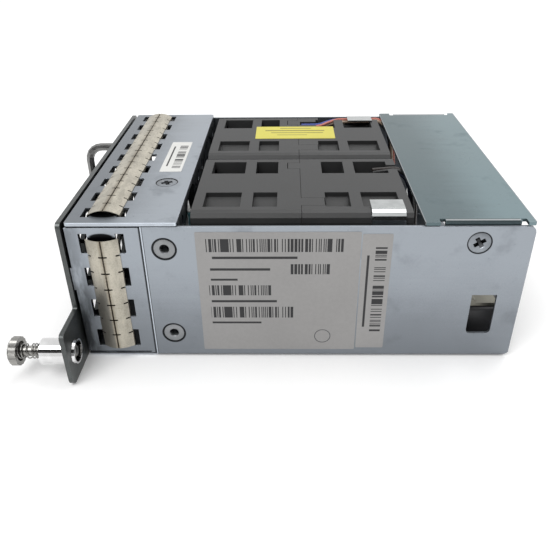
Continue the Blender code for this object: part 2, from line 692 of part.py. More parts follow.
def front_frame():
    """The box frame round the front chamber, lapped into the tray behind it."""
    frame = extruded("front_frame", [u_profile(HALF_WIDTH, FRAME_TOP, 0.0, SHEET, BEND_RADIUS)], "YZ",
                     at(0.0), at(SEAM_FROM_FRONT))
    lap = HALF_WIDTH - SHEET - HOLE_EASE
    step = u_profile(HALF_WIDTH - SHEET / 2, FRAME_TOP - HOLE_EASE, SHEET / 2, SHEET * 1.3, BEND_RADIUS)
    lapped = u_profile(lap, FRAME_TOP - HOLE_EASE * 2, SHEET + HOLE_EASE, SHEET, BEND_RADIUS / 2)
    seam = SEAM_FROM_FRONT
    joints = [
        extruded("frame_step", [step], "YZ", at(seam - SHEET), at(seam - HOLE_EASE), cutters),
        extruded("frame_lap", [lapped], "YZ", at(seam - SHEET / 2), at(LAP_END_FROM_FRONT), cutters),
    ]
    rim = HALF_WIDTH - SHEET / 2
    opening = HALF_WIDTH - FRONT_FLANGE
    front_ring = [
        rectangle(-rim, rim, SHEET / 2, FRAME_TOP - HOLE_EASE),
        rectangle(-opening, opening, FRONT_FLANGE, FRAME_TOP - FRONT_FLANGE, BEND_RADIUS),
    ]
    joints.append(extruded("frame_front_flange", front_ring, "YZ", at(HOLE_EASE), at(SHEET), cutters))
    inner = HALF_WIDTH - TOP_FLANGE
    sunk = HALF_WIDTH - SHEET / 2
    spans = []
    for side in (-1, 1):
        edge = sorted((side * inner, side * sunk))
        spans.append((at(SHEET / 2), at(seam - SHEET / 2), *edge, FRAME_TOP - SHEET - SEAT, FRAME_TOP - SEAT))
        lug = sorted((side * (HALF_WIDTH - SHEET + SEAT), side * (HALF_WIDTH - SEAT / 3)))
        spans.append((PLATE_BACK_X + SEAT, at(SHEET * 1.5), *lug, LUG_LOW, LUG_LOW + LUG_HEIGHT))
    joints.append(boxes("frame_flanges_and_lugs", spans))
    combine(frame, joints, "UNION")
    slots = []
    for side in (-1, 1):
        edge = sorted((side * (HALF_WIDTH + OVERCUT), side * (HALF_WIDTH - SHEET - OVERCUT)))
        for left in (SLOT_LEFT, SLOT_RIGHT):
            for height in slot_centres(SIDE_SLOTS, SIDE_MIDDLE):
                along = (at(left), at(left + SLOT_WIDTH))
                slots.append((*along, *edge, height - SLOT_LENGTH / 2, height + SLOT_LENGTH / 2))
        crease = sorted((side * (HALF_WIDTH + OVERCUT), side * (HALF_WIDTH - CREASE_DEPTH)))
        along = (at(-OVERCUT), at(SEAM_FROM_FRONT - SHEET * 1.5))
        slots.append((*along, *crease, BEND_RADIUS, BEND_RADIUS + CREASE_HEIGHT))
    cuts = [boxes("frame_slot_cut", slots)]
    for side, aim, name in ((-1, "-Y", "near"), (1, "+Y", "far")):
        for height in RIVET_HEIGHTS:
            place = (at(RIVET_FROM_FRONT), side * (HALF_WIDTH - SHEET / 2), height)
            radius = RIVET_SHANK / 2 + HOLE_EASE
            cuts.append(bar("frame_rivet_cut_" + name, radius, -SHEET * 3, 0.0, place, aim, SMALL_STEPS))
    combine(frame, cuts, "DIFFERENCE")
    return finish(frame, ZINC, 0.4, 0.9)


def front_top_strip():
    """The slotted lid over the front chamber."""
    along = (at(COVER_EDGE_INSET), at(LAP_END_FROM_FRONT))
    outline = rectangle(*along, -HALF_WIDTH, HALF_WIDTH, LID_CORNER_RADIUS)
    loops = [outline]
    half = SLOT_LENGTH / 2
    for left in (SLOT_LEFT, SLOT_RIGHT):
        for middle in slot_centres(TOP_SLOTS, TOP_SLOT_OFFSET):
            loops.append(rectangle(at(left), at(left + SLOT_WIDTH), middle - half, middle + half))
    strip = extruded("front_top_strip", loops, "XY", LID_UNDERSIDE, BODY_HEIGHT)
    place = (at(STRIP_SCREW_FROM_FRONT), STRIP_SCREW_Y, BODY_HEIGHT)
    combine(strip, [countersink("strip_screw_cut", SCREW_HEAD, SCREW_SHANK, place, "+Z")], "DIFFERENCE")
    return finish(strip, ZINC, 0.4, 0.9)


def hex_cells():
    """Hexagonal vent cells of the face plate, clear of its edges and of the handle's feet."""
    cells = []
    rows = int((GRILLE_HIGH - GRILLE_BOTTOM_MARGIN - CELL_FLAT) / CELL_ROW_PITCH) + 1
    columns = int((2 * GRILLE_HALF_WIDTH - CELL_FLAT) / CELL_PITCH) + 1
    low = (GRILLE_BOTTOM_MARGIN + GRILLE_HIGH - (rows - 1) * CELL_ROW_PITCH) / 2
    for row in range(rows):
        here = columns - row % 2
        for column in range(here):
            y = (column - (here - 1) / 2) * CELL_PITCH
            z = low + row * CELL_ROW_PITCH
            feet = [hypot(y - HANDLE_Y, z - foot) for foot in handle_feet()]
            if min(feet) > CELL_FLAT / 2 + HANDLE_HEAD / 2 + HANDLE_MARGIN:
                cells.append(ring(y, z, CELL_FLAT / 3**0.5, 6, pi / 6))
    return cells


def handle_feet():
    """Heights of the handle's two legs."""
    middle = BODY_HEIGHT / 2
    return middle - HANDLE_SPACING / 2, middle + HANDLE_SPACING / 2


def face_plate():
    """The front plate: a vent grille, the handle's holes, and the ear that carries the captive screw."""
    tip = -(PLATE_HALF + EAR_REACH)
    small = PLATE_CORNER_RADIUS
    outline = rounded([
        (tip, 0.0, EAR_RADIUS),
        (PLATE_HALF, 0.0, small),
        (PLATE_HALF, BODY_HEIGHT, small),
        (-PLATE_HALF, BODY_HEIGHT, small),
        (-PLATE_HALF, EAR_HEIGHT, small / 2),
        (tip, EAR_HEIGHT, small),
    ])
    loops = [outline, ring(SCREW_Y, SCREW_Z, FERRULE_NECK / 2 + HOLE_EASE, 24)]
    for foot in handle_feet():
        loops.append(ring(HANDLE_Y, foot, HANDLE_NECK / 2 + HOLE_EASE, SMALL_STEPS))
    plate = extruded("face_plate", loops + hex_cells(), "YZ", PLATE_FRONT_X, PLATE_BACK_X)
    return finish(plate, ZINC, 0.4, 0.9)


def handle():
    """A bent rod whose ends are necked, passed through the plate and headed over."""
    low, high = handle_feet()
    start = PLATE_FRONT_X - SEAT
    front = PLATE_FRONT_X - HANDLE_REACH
    route = [(start, HANDLE_Y, low), (front, HANDLE_Y, low), (front, HANDLE_Y, high), (start, HANDLE_Y, high)]
    grip = rod("handle", route, HANDLE_ROD, resolution=2, bends=HANDLE_BEND, steps=5)
    head_back = PLATE_BACK_X + SEAT
    profile = [
        (0.0, head_back + HANDLE_HEAD_THICKNESS - start),
        (HANDLE_HEAD / 2 - HANDLE_HEAD_CHAMFER, head_back + HANDLE_HEAD_THICKNESS - start),
        (HANDLE_HEAD / 2, head_back - start),
        (HANDLE_NECK / 2, head_back - start),
        (HANDLE_NECK / 2, -HANDLE_NECK_ROOT),
        (0.0, -HANDLE_NECK_ROOT),
    ]
    feet = [turned("handle_foot", profile, (start, HANDLE_Y, foot), "+X", SMALL_STEPS, collection=cutters)
            for foot in (low, high)]
    combine(grip, feet, "UNION")
    smooth(grip)
    return finish(grip, CHROME, 0.28, 1.0)


def captive_screw_ferrule():
    """The bright sleeve pressed through the ear, with its rim formed over behind the plate."""
    face = PLATE_FRONT_X - SEAT / 2
    back = PLATE_BACK_X + SEAT / 2
    bore = SHANK_DIAMETER / 2 + FERRULE_BORE_CLEARANCE
    shoulder = THREAD_START_X - THREAD_RUNOUT - SEAT - face
    profile = [
        (FERRULE_REAR_BORE / 2, back + FERRULE_RIM_HEIGHT - face),
        (FERRULE_NECK / 2, back + FERRULE_RIM_HEIGHT - face),
        (FERRULE_RIM / 2, back - face),
        (FERRULE_NECK / 2, back - face),
        (FERRULE_NECK / 2, 0.0),
        (FERRULE_DIAMETER / 2, 0.0),
        (FERRULE_DIAMETER / 2, -FERRULE_LENGTH + FERRULE_CHAMFER),
        (FERRULE_DIAMETER / 2 - FERRULE_CHAMFER, -FERRULE_LENGTH),
        (bore, -FERRULE_LENGTH),
        (bore, shoulder - FERRULE_SHOULDER),
        (FERRULE_REAR_BORE / 2, shoulder),
    ]
    ferrule = turned("captive_screw_ferrule", profile, (face, SCREW_Y, SCREW_Z), "+X", 24, closed=True)
    return finish(ferrule, CHROME, 0.12, 1.0)


def captive_screw():
    """The knob, shank and threaded end of the captive screw, turned as one piece."""
    half = KNOB_DIAMETER / 2
    flutes = []
    for k in range(KNOB_FLUTES * 2):
        radius = half - (FLUTE_DEPTH if k % 2 else 0.0)
        turn = pi * k / KNOB_FLUTES
        flutes.append(Vector((SCREW_Y + radius * cos(turn), SCREW_Z + radius * sin(turn))))
    screw = extruded("captive_screw", [flutes], "YZ", KNOB_FRONT_X + KNOB_CROWN, KNOB_BACK_X)
    place = (KNOB_BACK_X, SCREW_Y, SCREW_Z)
    depth = (-KNOB_RECESS_DEPTH, OVERCUT)
    recess = bar("captive_screw_recess", KNOB_RECESS / 2, *depth, place, "+X", SMALL_STEPS)
    combine(screw, [recess], "DIFFERENCE")
    tip = PLATE_BACK_X + SCREW_TIP_BEHIND_PLATE - KNOB_BACK_X
    thread_start = THREAD_START_X - KNOB_BACK_X
    crown = half - FLUTE_DEPTH * 2
    profile = [
        (0.0, tip),
        (THREAD_DIAMETER / 2 - THREAD_CHAMFER, tip),
        (THREAD_DIAMETER / 2, tip - THREAD_CHAMFER),
        (THREAD_DIAMETER / 2, thread_start),
        (SHANK_DIAMETER / 2, thread_start - THREAD_RUNOUT),
        (SHANK_DIAMETER / 2, -KNOB_LENGTH + KNOB_CROWN * 1.5),
        (crown, -KNOB_LENGTH + KNOB_CROWN * 1.5),
        (crown, -KNOB_LENGTH + KNOB_CROWN / 2),
        (crown - KNOB_CROWN / 2, -KNOB_LENGTH),
        (0.0, -KNOB_LENGTH),
    ]
    core = turned("captive_screw_core", profile, place, "+X", SMALL_STEPS, collection=cutters)
    combine(screw, [core], "UNION")
    origin = Matrix.Translation(place)
    screw.data.transform(origin.inverted() @ screw.matrix_world)
    screw.matrix_world = origin
    smooth(screw)
    return finish(screw, (0.62, 0.6, 0.58), 0.3, 1.0)


def captive_screw_spring():
    """The compression spring between the knob's recess and the ferrule."""
    start = KNOB_BACK_X - KNOB_RECESS_DEPTH + SPRING_WIRE / 2 + SEAT
    end = FERRULE_FRONT_X - SPRING_WIRE / 2 - SEAT
    radius = (SPRING_DIAMETER - SPRING_WIRE) / 2
    count = int(SPRING_TURNS * SPRING_STEPS)
    route = []
    for k in range(count + 1):
        turn = 2 * pi * k / SPRING_STEPS
        along = start + (end - start) * k / count
        route.append((along, SCREW_Y + radius * cos(turn), SCREW_Z + radius * sin(turn)))
    spring = rod("captive_screw_spring", route, SPRING_WIRE, resolution=1)
    origin = Matrix.Translation((end, SCREW_Y, SCREW_Z))
    spring.data.transform(origin.inverted())
    spring.matrix_world = origin
    smooth(spring, radians(60))
    return finish(spring, (0.55, 0.55, 0.53), 0.25, 1.0)


def gasket(name, length, first_slit, slit_count, matrix):
    """An arched contact strip in local axes: X across, Y along, Z away from the sheet it clips on.

    Slits part it into fingers, and every other finger drops a tab into the slots beside it.
    """
    half = GASKET_WIDTH / 2
    radius = (half**2 + GASKET_RISE**2) / (2 * GASKET_RISE)
    spread = asin(half / radius)
    ribs = (-1.0, -0.72, -0.36, 0.0, 0.36, 0.72, 1.0)
    cut_cells = {0, 2, 3, 5}
    rows = [0.0]
    slit_rows = set()
    for k in range(slit_count):
        middle = first_slit + k * SLOT_PITCH / 2
        slit_rows.add(len(rows))
        rows.extend((middle - FINGER_SLIT / 2, middle + FINGER_SLIT / 2))
    rows.append(length)
    shape = bmesh.new()
    grid = []
    for y in rows:
        line = []
        for rib in ribs:
            angle = rib * spread
            line.append(shape.verts.new((radius * sin(angle), y, radius * cos(angle) - radius + GASKET_RISE)))
        grid.append(line)
    for row in range(len(rows) - 1):
        for cell in range(len(ribs) - 1):
            if row in slit_rows and cell in cut_cells:
                continue
            corners = (grid[row][cell], grid[row][cell + 1], grid[row + 1][cell + 1], grid[row + 1][cell])
            shape.faces.new(corners)
    for row in range(0, len(rows) - 1, 4):
        for edge in (0, -1):
            top = (grid[row][edge], grid[row + 1][edge])
            low = [shape.verts.new((v.co.x * HOOK_TUCK, v.co.y, -HOOK_DEPTH)) for v in top]
            loop = (top[0], top[1], low[1], low[0])
            shape.faces.new(loop if edge == 0 else loop[::-1])
    mesh = bpy.data.meshes.new(name)
    shape.to_mesh(mesh)
    shape.free()
    strip = link_mesh(name, mesh, parts, matrix)
    shell = strip.modifiers.new("sheet", "SOLIDIFY")
    shell.thickness = GASKET_SHEET
    shell.offset = -1.0
    smooth(strip)
    return finish(strip, (0.5, 0.48, 0.43), 0.5, 0.7)


def gaskets():
    """Contact strips on the top and on both sides of the front frame."""
    middle_x = at(GASKET_LEFT + GASKET_WIDTH / 2)
    lift = GASKET_SHEET + GASKET_LIFT
    margin = SLOT_PITCH / 4 - FINGER_SLIT / 2
    centres = slot_centres(TOP_SLOTS, TOP_SLOT_OFFSET)
    start = centres[0] - margin
    length = centres[-1] + margin - start
    place = Matrix.Translation((middle_x, start, BODY_HEIGHT + lift))
    gasket("gasket_top", length, SLOT_PITCH / 2 - FINGER_SLIT / 2, TOP_SLOTS * 2 - 2, place)
    centres = slot_centres(SIDE_SLOTS, SIDE_MIDDLE)
    start = centres[0] - margin
    length = centres[-1] + margin - start
    for side, name in ((-1, "gasket_near"), (1, "gasket_far")):
        turn = Matrix.Rotation(pi / 2, 4, "X")
        if side > 0:
            turn = Matrix.Rotation(pi, 4, "Z") @ turn
        place = Matrix.Translation((middle_x, side * (HALF_WIDTH + lift), start)) @ turn
        gasket(name, length, SLOT_PITCH / 2 - FINGER_SLIT / 2, SIDE_SLOTS * 2 - 2, place)


def rear_cover():
    """The plain lid over the rear chamber, with end tabs and two flanges bent down inside the walls."""
    start = at(COVER_START_FROM_FRONT)
    end = at(REAR_FROM_FRONT - COVER_EDGE_INSET)
    outer = HALF_WIDTH
    fold = HALF_WIDTH - SHEET - SEAT
    notch = fold - SHEET * 1.5
    corners = []
    for side in (-1, 1):
        edge = [
            (end, side * outer, LID_CORNER_RADIUS),
            (end - COVER_TAB_REAR, side * outer, 0.0),
            (end - COVER_TAB_REAR, side * notch, 0.0),
            (end - COVER_TAB_REAR - COVER_NOTCH, side * notch, 0.0),
            (end - COVER_TAB_REAR - COVER_NOTCH, side * fold, 0.0),
            (start + COVER_TAB_FRONT + COVER_NOTCH, side * fold, 0.0),
            (start + COVER_TAB_FRONT + COVER_NOTCH, side * notch, 0.0),
            (start + COVER_TAB_FRONT, side * notch, 0.0),
            (start + COVER_TAB_FRONT, side * outer, 0.0),
            (start, side * outer, LID_CORNER_RADIUS),
        ]
        corners.extend(edge if side > 0 else reversed(edge))
    cover = extruded("rear_cover", [rounded(corners)], "XY", LID_UNDERSIDE, BODY_HEIGHT)
    flange_start = start + COVER_TAB_FRONT + COVER_NOTCH
    flange_end = end - COVER_TAB_REAR - COVER_NOTCH
    low = BODY_HEIGHT - COVER_FLANGE_DEPTH
    spans = []
    for side in (-1, 1):
        across = sorted((side * fold, side * (fold - SHEET)))
        spans.append((flange_start, flange_end, *across, low, BODY_HEIGHT - SHEET / 2))
    combine(cover, [boxes("cover_flanges", spans)], "UNION")
    holes = []
    for side, aim, name in ((-1, "-Y", "near"), (1, "+Y", "far")):
        place = (at(COVER_SCREW_FROM_FRONT), side * fold, COVER_SCREW_HEIGHT)
        radius = SCREW_SHANK / 2 + HOLE_EASE
        holes.append(bar("cover_screw_cut_" + name, radius, -SHEET * 2, OVERCUT, place, aim, SMALL_STEPS))
    combine(cover, holes, "DIFFERENCE")
    return finish(cover, ZINC_DARK, 0.38, 0.9)


def fan_bulkhead():
    """The wall that the fans' inlets seal against, with flanges along its top and sides."""
    back = at(BULKHEAD_FROM_FRONT + SHEET)
    front = at(BULKHEAD_FROM_FRONT)
    inner = HALF_WIDTH - SHEET * 2 - HOLE_EASE - SEAT
    top = LID_UNDERSIDE - HOLE_EASE
    lap_floor = SHEET * 2 + HOLE_EASE + SEAT
    loops = [rectangle(-inner, inner, lap_floor, top)]
    offset = FAN_SCREW_PITCH / 2
    for middle in FAN_Y.values():
        loops.append(ring(middle, FAN_CENTRE_Z, BULKHEAD_OPENING / 2, BORE_STEPS))
        for dy in (-offset, offset):
            for dz in (-offset, offset):
                loops.append(ring(middle + dy, FAN_CENTRE_Z + dz, FAN_SCREW_HOLE / 2, 8))
    bulkhead = extruded("fan_bulkhead", loops, "YZ", front, back)
    across = (-inner + TOP_FLANGE, inner - TOP_FLANGE)
    spans = [(front - BULKHEAD_TOP_FLANGE, front + SHEET / 2, *across, top - SHEET, top)]
    for side in (-1, 1):
        across = sorted((side * inner, side * (inner - SHEET)))
        spans.append((front - BULKHEAD_FLANGE, front + SHEET / 2, *across, lap_floor, top - SHEET * 3))
    combine(bulkhead, [boxes("bulkhead_flanges", spans)], "UNION")
    cuts = []
    for side, aim, name in ((-1, "-Y", "near"), (1, "+Y", "far")):
        for height in RIVET_HEIGHTS:
            place = (at(RIVET_FROM_FRONT), side * inner, height)
            radius = RIVET_SHANK / 2 + HOLE_EASE
            hole = bar("bulkhead_rivet_cut_" + name, radius, -SHEET * 2, OVERCUT, place, aim, SMALL_STEPS)
            cuts.append(hole)
    place = (at(STRIP_SCREW_FROM_FRONT), STRIP_SCREW_Y, top)
    radius = SCREW_SHANK / 2 + HOLE_EASE
    cuts.append(bar("bulkhead_screw_cut", radius, -SHEET * 2, OVERCUT, place, "+Z", SMALL_STEPS))
    combine(bulkhead, cuts, "DIFFERENCE")
    return finish(bulkhead, ZINC, 0.45, 0.9)


def rivets_and_screws():
    """Flush rivets through the lapped walls, and the countersunk screws of the two lids."""
    grip = SHEET * 3 + HOLE_EASE + SEAT
    tail = RIVET_SHANK / 2 + RIVET_TAIL
    end = -grip - SEAT
    for side, aim, name in ((-1, "-Y", "near"), (1, "+Y", "far")):
        for height, level in zip(RIVET_HEIGHTS, ("lower", "upper")):
            profile = [
                (0.0, end + SHEET),
                (RIVET_BORE / 2, end + SHEET),
                (RIVET_BORE / 2, -HEAD_SINK),
                (RIVET_HEAD / 2, -HEAD_SINK),
                (RIVET_HEAD / 2, -HEAD_RIM),
                (RIVET_SHANK / 2, -HEAD_DEPTH),
                (RIVET_SHANK / 2, end),
                (tail, end),
                (tail, end - RIVET_TAIL_LENGTH),
                (0.0, end - RIVET_TAIL_LENGTH - RIVET_TAIL),
            ]
            place = (at(RIVET_FROM_FRONT), side * HALF_WIDTH, height)
            rivet = turned("rivet_" + name + "_" + level, profile, place, aim, 12)
            finish(rivet, (0.5, 0.5, 0.5), 0.35, 1.0)
        place = (at(COVER_SCREW_FROM_FRONT), side * HALF_WIDTH, COVER_SCREW_HEIGHT)
        flat_head_screw("cover_screw_" + name, place, aim)
    place = (at(STRIP_SCREW_FROM_FRONT), STRIP_SCREW_Y, BODY_HEIGHT)
    flat_head_screw("strip_screw", place, "+Z")


def corner_pocket(centre_y, sy, sz):
    """Outline of the pocket round one corner rail, following the round tube inside it."""
    half = FAN_SIDE / 2
    rail = half - POCKET_RAIL
    edge = rail - POCKET_REACH
    clear = half + OVERCUT
    radius = FAN_TUBE / 2
    first = asin(edge / radius)
    steps = 3
    points = [(rail, rail), (rail, clear), (edge, clear)]
    for k in range(steps + 1):
        angle = first + (pi / 2 - 2 * first) * k / steps
        points.append((radius * sin(angle), radius * cos(angle)))
    points.extend([(clear, edge), (clear, rail)])
    return [Vector((centre_y + sy * u, FAN_CENTRE_Z + sz * v)) for u, v in points]


def fan_half(fan, end_name, centre_y):
    """One half of a fan's housing, with its motor base, struts and bearing tube."""
    front = end_name == "front"
    face = at(FAN_FROM_FRONT if front else FAN_END_FROM_FRONT)
    inward = 1 if front else -1
    seam = face + inward * (FAN_HALF_LENGTH - SEAM_GAP / 2)
    name = fan + "_fan_housing_" + end_name
    half = FAN_SIDE / 2
    y0, y1 = centre_y - half, centre_y + half
    z0, z1 = FAN_CENTRE_Z - half, FAN_CENTRE_Z + half
    outline = rectangle(y0, y1, z0, z1, FAN_CORNER_RADIUS, 3)
    housing = extruded(name, [outline], "YZ", face, seam)
    offset = FAN_SCREW_PITCH / 2
    holes = []
    for dy in (-offset, offset):
        for dz in (-offset, offset):
            holes.append(ring(centre_y + dy, FAN_CENTRE_Z + dz, FAN_SCREW_HOLE / 2, 8))
    reach = face + inward * (FAN_FLANGE + OVERCUT / 2)
    drilled = extruded(name + "_holes", holes, "YZ", face - inward * OVERCUT, reach, cutters)
    combine(housing, [drilled], "DIFFERENCE")
    if not front:
        combine(housing, [boxes(name + "_wire_ways", wire_ways(fan, face))], "DIFFERENCE")
    middle = (0.0, centre_y, FAN_CENTRE_Z)
    pockets = [corner_pocket(centre_y, sy, sz) for sy in (-1, 1) for sz in (-1, 1)]
    for number, (near_end, far_end) in enumerate(POCKET_SPANS):
        along = (face + inward * near_end, face + inward * far_end)
        cut = extruded(f"{name}_pockets_{number}", pockets, "YZ", *along, cutters)
        combine(housing, [cut], "DIFFERENCE")
    tabs, notches = seam_tabs(centre_y, seam, inward)
    combine(housing, [boxes(name + "_notches", notches)], "DIFFERENCE")
    combine(housing, [boxes(name + "_tabs", tabs)], "UNION")
    reach = (min(face, seam) - OVERCUT - TAB_LONG, max(face, seam) + OVERCUT + TAB_LONG)
    bore = bar(name + "_bore", FAN_BORE / 2, *reach, middle, "+X", BORE_STEPS)
    combine(housing, [bore], "DIFFERENCE")
    combine(housing, [motor_base(name, centre_y, seam, inward)], "UNION")
    socket = BEARING_OUTER / 2 + 2 * BEARING_FIT
    reach = (seam - FAN_HALF_LENGTH, seam + FAN_HALF_LENGTH)
    drill = bar(name + "_drill", socket, *reach, middle, "+X", 12)
    combine(housing, [drill], "DIFFERENCE")
    smooth(housing)
    return finish(housing, PLASTIC, 0.55, 0.0)


def wire_ways(fan, rear_face):
    """The moulded ways by which a fan's leads leave the top of its rear half."""
    height = (BODY_HEIGHT - WIRE_CHANNEL_DEPTH, BODY_HEIGHT + OVERCUT)
    rear = rear_face + OVERCUT
    if fan == "far":
        side = FAN_Y["far"] + FAN_SIDE / 2
        channel = (rear_face - WIRE_CHANNEL_LENGTH, rear, side - WIRE_CHANNEL_WIDTH, side + OVERCUT, *height)
        outer = side - WIRE_SLOT_FROM_SIDE
        slot_start = rear_face - FAN_HALF_LENGTH + WIRE_SLOT_FROM_SEAM
        slot_end = rear_face - POCKET_END + OVERCUT / 2
        return [channel, (slot_start, slot_end, outer - WIRE_NOTCH_WIDTH, outer, *height)]
    middle = near_lead_y()
    half = WIRE_NOTCH_WIDTH / 2
    return [(rear_face - WIRE_NOTCH_LENGTH, rear, middle - half, middle + half, *height)]


def near_lead_y():
    """Where the near fan's leads cross its rear flange."""
    return FAN_Y["near"] + FAN_SIDE / 2 - POCKET_RAIL - POCKET_REACH / 2


def seam_tabs(centre_y, seam, inward):
    """Interlocking tabs on top and bottom: each half has a long one and the notch for the other's."""
    half = FAN_SIDE / 2
    tabs = []
    notches = []
    side = -inward
    for level in (-1, 1):
        edge = FAN_CENTRE_Z + level * half
        for which, direction in ((side, 1), (-side, -1)):
            reach = TAB_LONG if which < 0 else TAB_SHORT
            outer = centre_y + which * (half - TAB_FROM_SIDE)
            inner = outer - which * TAB_WIDTH
            if direction > 0:
                across = sorted((outer, inner))
                depth = sorted((edge, edge - level * TAB_THICKNESS))
                along = sorted((seam - inward * OVERCUT / 2, seam + inward * reach))
                tabs.append((*along, *across, *depth))
            else:
                across = sorted((outer + which * SEAM_GAP, inner - which * SEAM_GAP))
                depth = sorted((edge + level * OVERCUT, edge - level * (TAB_THICKNESS + SEAM_GAP)))
                along = sorted((seam + inward * OVERCUT, seam - inward * (reach + SEAM_GAP)))
                notches.append((*along, *across, *depth))
    return tabs, notches


def motor_base(name, centre_y, seam, inward):
    """The motor's base disc, its bearing tube, and the struts out to the housing."""
    middle = (seam, centre_y, FAN_CENTRE_Z)
    aim = "-X" if inward > 0 else "+X"
    profile = [
        (BEARING_OUTER / 4, BEARING_TUBE_END),
        (BEARING_TUBE / 2, BEARING_TUBE_END),
        (BEARING_TUBE / 2, BASE_THICKNESS),
        (BASE_DIAMETER / 2, BASE_THICKNESS),
        (BASE_DIAMETER / 2, 0.0),
        (BEARING_OUTER / 4, 0.0),
    ]
    base = turned(name + "_base", profile, middle, aim, SMALL_STEPS, closed=True, collection=cutters)
    shape = bmesh.new()
    reach = FAN_BORE / 2 + STRUT_SINK
    inner = BASE_DIAMETER / 2 - STRUT_SINK * 2
    for k in range(STRUT_COUNT):
        turn = Matrix.Rotation(pi / 4 + 2 * pi * k / STRUT_COUNT, 4, "X")
        slide = Matrix.Translation((-inward * STRUT_DEPTH / 2, (reach + inner) / 2, 0.0))
        size = Matrix.Diagonal((STRUT_DEPTH, reach - inner, STRUT_WIDTH, 1.0))
        bmesh.ops.create_cube(shape, size=1.0, matrix=turn @ slide @ size)
    mesh = bpy.data.meshes.new(name + "_struts")
    shape.to_mesh(mesh)
    shape.free()
    struts = link_mesh(name + "_struts", mesh, cutters, Matrix.Translation(middle))
    return combine(base, [struts], "UNION")


def blade_mesh(name, count, root_pitch, tip_pitch, hand):
    """Twisted blades lofted from the hub to the tip, round local X, in one mesh."""
    shape = bmesh.new()
    inner = HUB_DIAMETER / 2 - BLADE_ROOT_SINK
    outer = FAN_BORE / 2 - BLADE_TIP_GAP
    depth = HUB_LENGTH - 2 * BLADE_END_INSET
    stations = 2
    chord_points = 4
    for blade in range(count):
        start_angle = 2 * pi * blade / count
        rings = []
        for station in range(stations):
            share = station / (stations - 1)
            radius = inner + (outer - inner) * share
            pitch = root_pitch + (tip_pitch - root_pitch) * share
            sweep = hand * depth * sin(pitch) / cos(pitch) / radius
            sweep = max(min(sweep, 1.35), -1.35)
            upper = []
            lower = []
            for point in range(chord_points + 1):
                t = point / chord_points
                bow = 0.12 * sin(pi * t)
                angle = start_angle + sweep * (t - 0.5) * (1 - 0.25 * t) + hand * bow * 0.5
                thick = BLADE_THICKNESS * (0.30 + 0.70 * sin(pi * min(t + 0.18, 1.0))) / radius
                x = depth * (0.5 - t)
                upper.append((x, angle + thick / 2))
                lower.append((x, angle - thick / 2))
            outline = upper + lower[::-1]
            rings.append([shape.verts.new((x, radius * cos(a), radius * sin(a))) for x, a in outline])
        for near, far in zip(rings, rings[1:]):
            size = len(near)
            for k in range(size):
                shape.faces.new((near[k], near[(k + 1) % size], far[(k + 1) % size], far[k]))
        last = 2 * chord_points + 1
        for edge in (rings[0], rings[-1]):
            for k in range(chord_points):
                shape.faces.new((edge[k], edge[k + 1], edge[last - k - 1], edge[last - k]))
    bmesh.ops.recalc_face_normals(shape, faces=shape.faces)
    mesh = bpy.data.meshes.new(name)
    shape.to_mesh(mesh)
    shape.free()
    return mesh


def rotor(fan, end_name, centre_y):
    """An impeller with its shaft and its ring magnet, on the motor's axis."""
    front = end_name == "front"
    face = at(FAN_FROM_FRONT if front else FAN_END_FROM_FRONT)
    inward = 1 if front else -1
    centre_x = face + inward * (HUB_SETBACK + HUB_LENGTH / 2)
    place = (centre_x, centre_y, FAN_CENTRE_Z)
    name = fan + "_impeller_" + end_name
    outer = HUB_DIAMETER / 2
    half = HUB_LENGTH / 2
    boss = HUB_BOSS / 2
    bore = SHAFT_DIAMETER / 2 + SHAFT_FIT
    hub_profile = [
        (bore, half),
        (outer - HUB_CROWN, half),
        (outer - HUB_CROWN / 4, half - HUB_CROWN_DROP / 4),
        (outer, half - HUB_CROWN_DROP),
        (outer, -half),
        (outer - HUB_WALL, -half),
        (outer - HUB_WALL, half - HUB_WALL),
        (boss, half - HUB_WALL),
        (boss, half - HUB_BOSS_LENGTH),
        (bore, half - HUB_BOSS_LENGTH),
    ]
    aim = "-X" if front else "+X"
    hub = turned(name, hub_profile, place, aim, SMALL_STEPS, closed=True)
    if front:
        blades = blade_mesh(name + "_blades", FRONT_BLADES, FRONT_ROOT_PITCH, FRONT_TIP_PITCH, 1)
    else:
        blades = blade_mesh(name + "_blades", REAR_BLADES, REAR_ROOT_PITCH, REAR_TIP_PITCH, -1)
    helper = link_mesh(name + "_blades", blades, cutters, Matrix.Translation(place))
    combine(hub, [helper], "UNION")
    finish(hub, PLASTIC, 0.5, 0.0)
    motor_seam = face + inward * FAN_HALF_LENGTH
    length = FAN_HALF_LENGTH - HUB_SETBACK - SHAFT_FROM_SEAM - SHAFT_FROM_HUB_END
    place = (motor_seam - inward * SHAFT_FROM_SEAM, centre_y, FAN_CENTRE_Z)
    shaft = bar(fan + "_shaft_" + end_name, SHAFT_DIAMETER / 2, 0.0, length, place, aim, 12, parts)
    finish(shaft, (0.6, 0.6, 0.6), 0.2, 1.0)
    place = (motor_seam, centre_y, FAN_CENTRE_Z)
    low = BASE_THICKNESS + HUB_BASE_GAP + MAGNET_FROM_HUB_END
    magnet = tube(fan + "_magnet_" + end_name, MAGNET_OUTER / 2, MAGNET_OUTER / 2 - MAGNET_WALL,
                  low, low + MAGNET_LENGTH, place, aim, SMALL_STEPS)
    finish(magnet, (0.12, 0.12, 0.13), 0.5, 0.4)


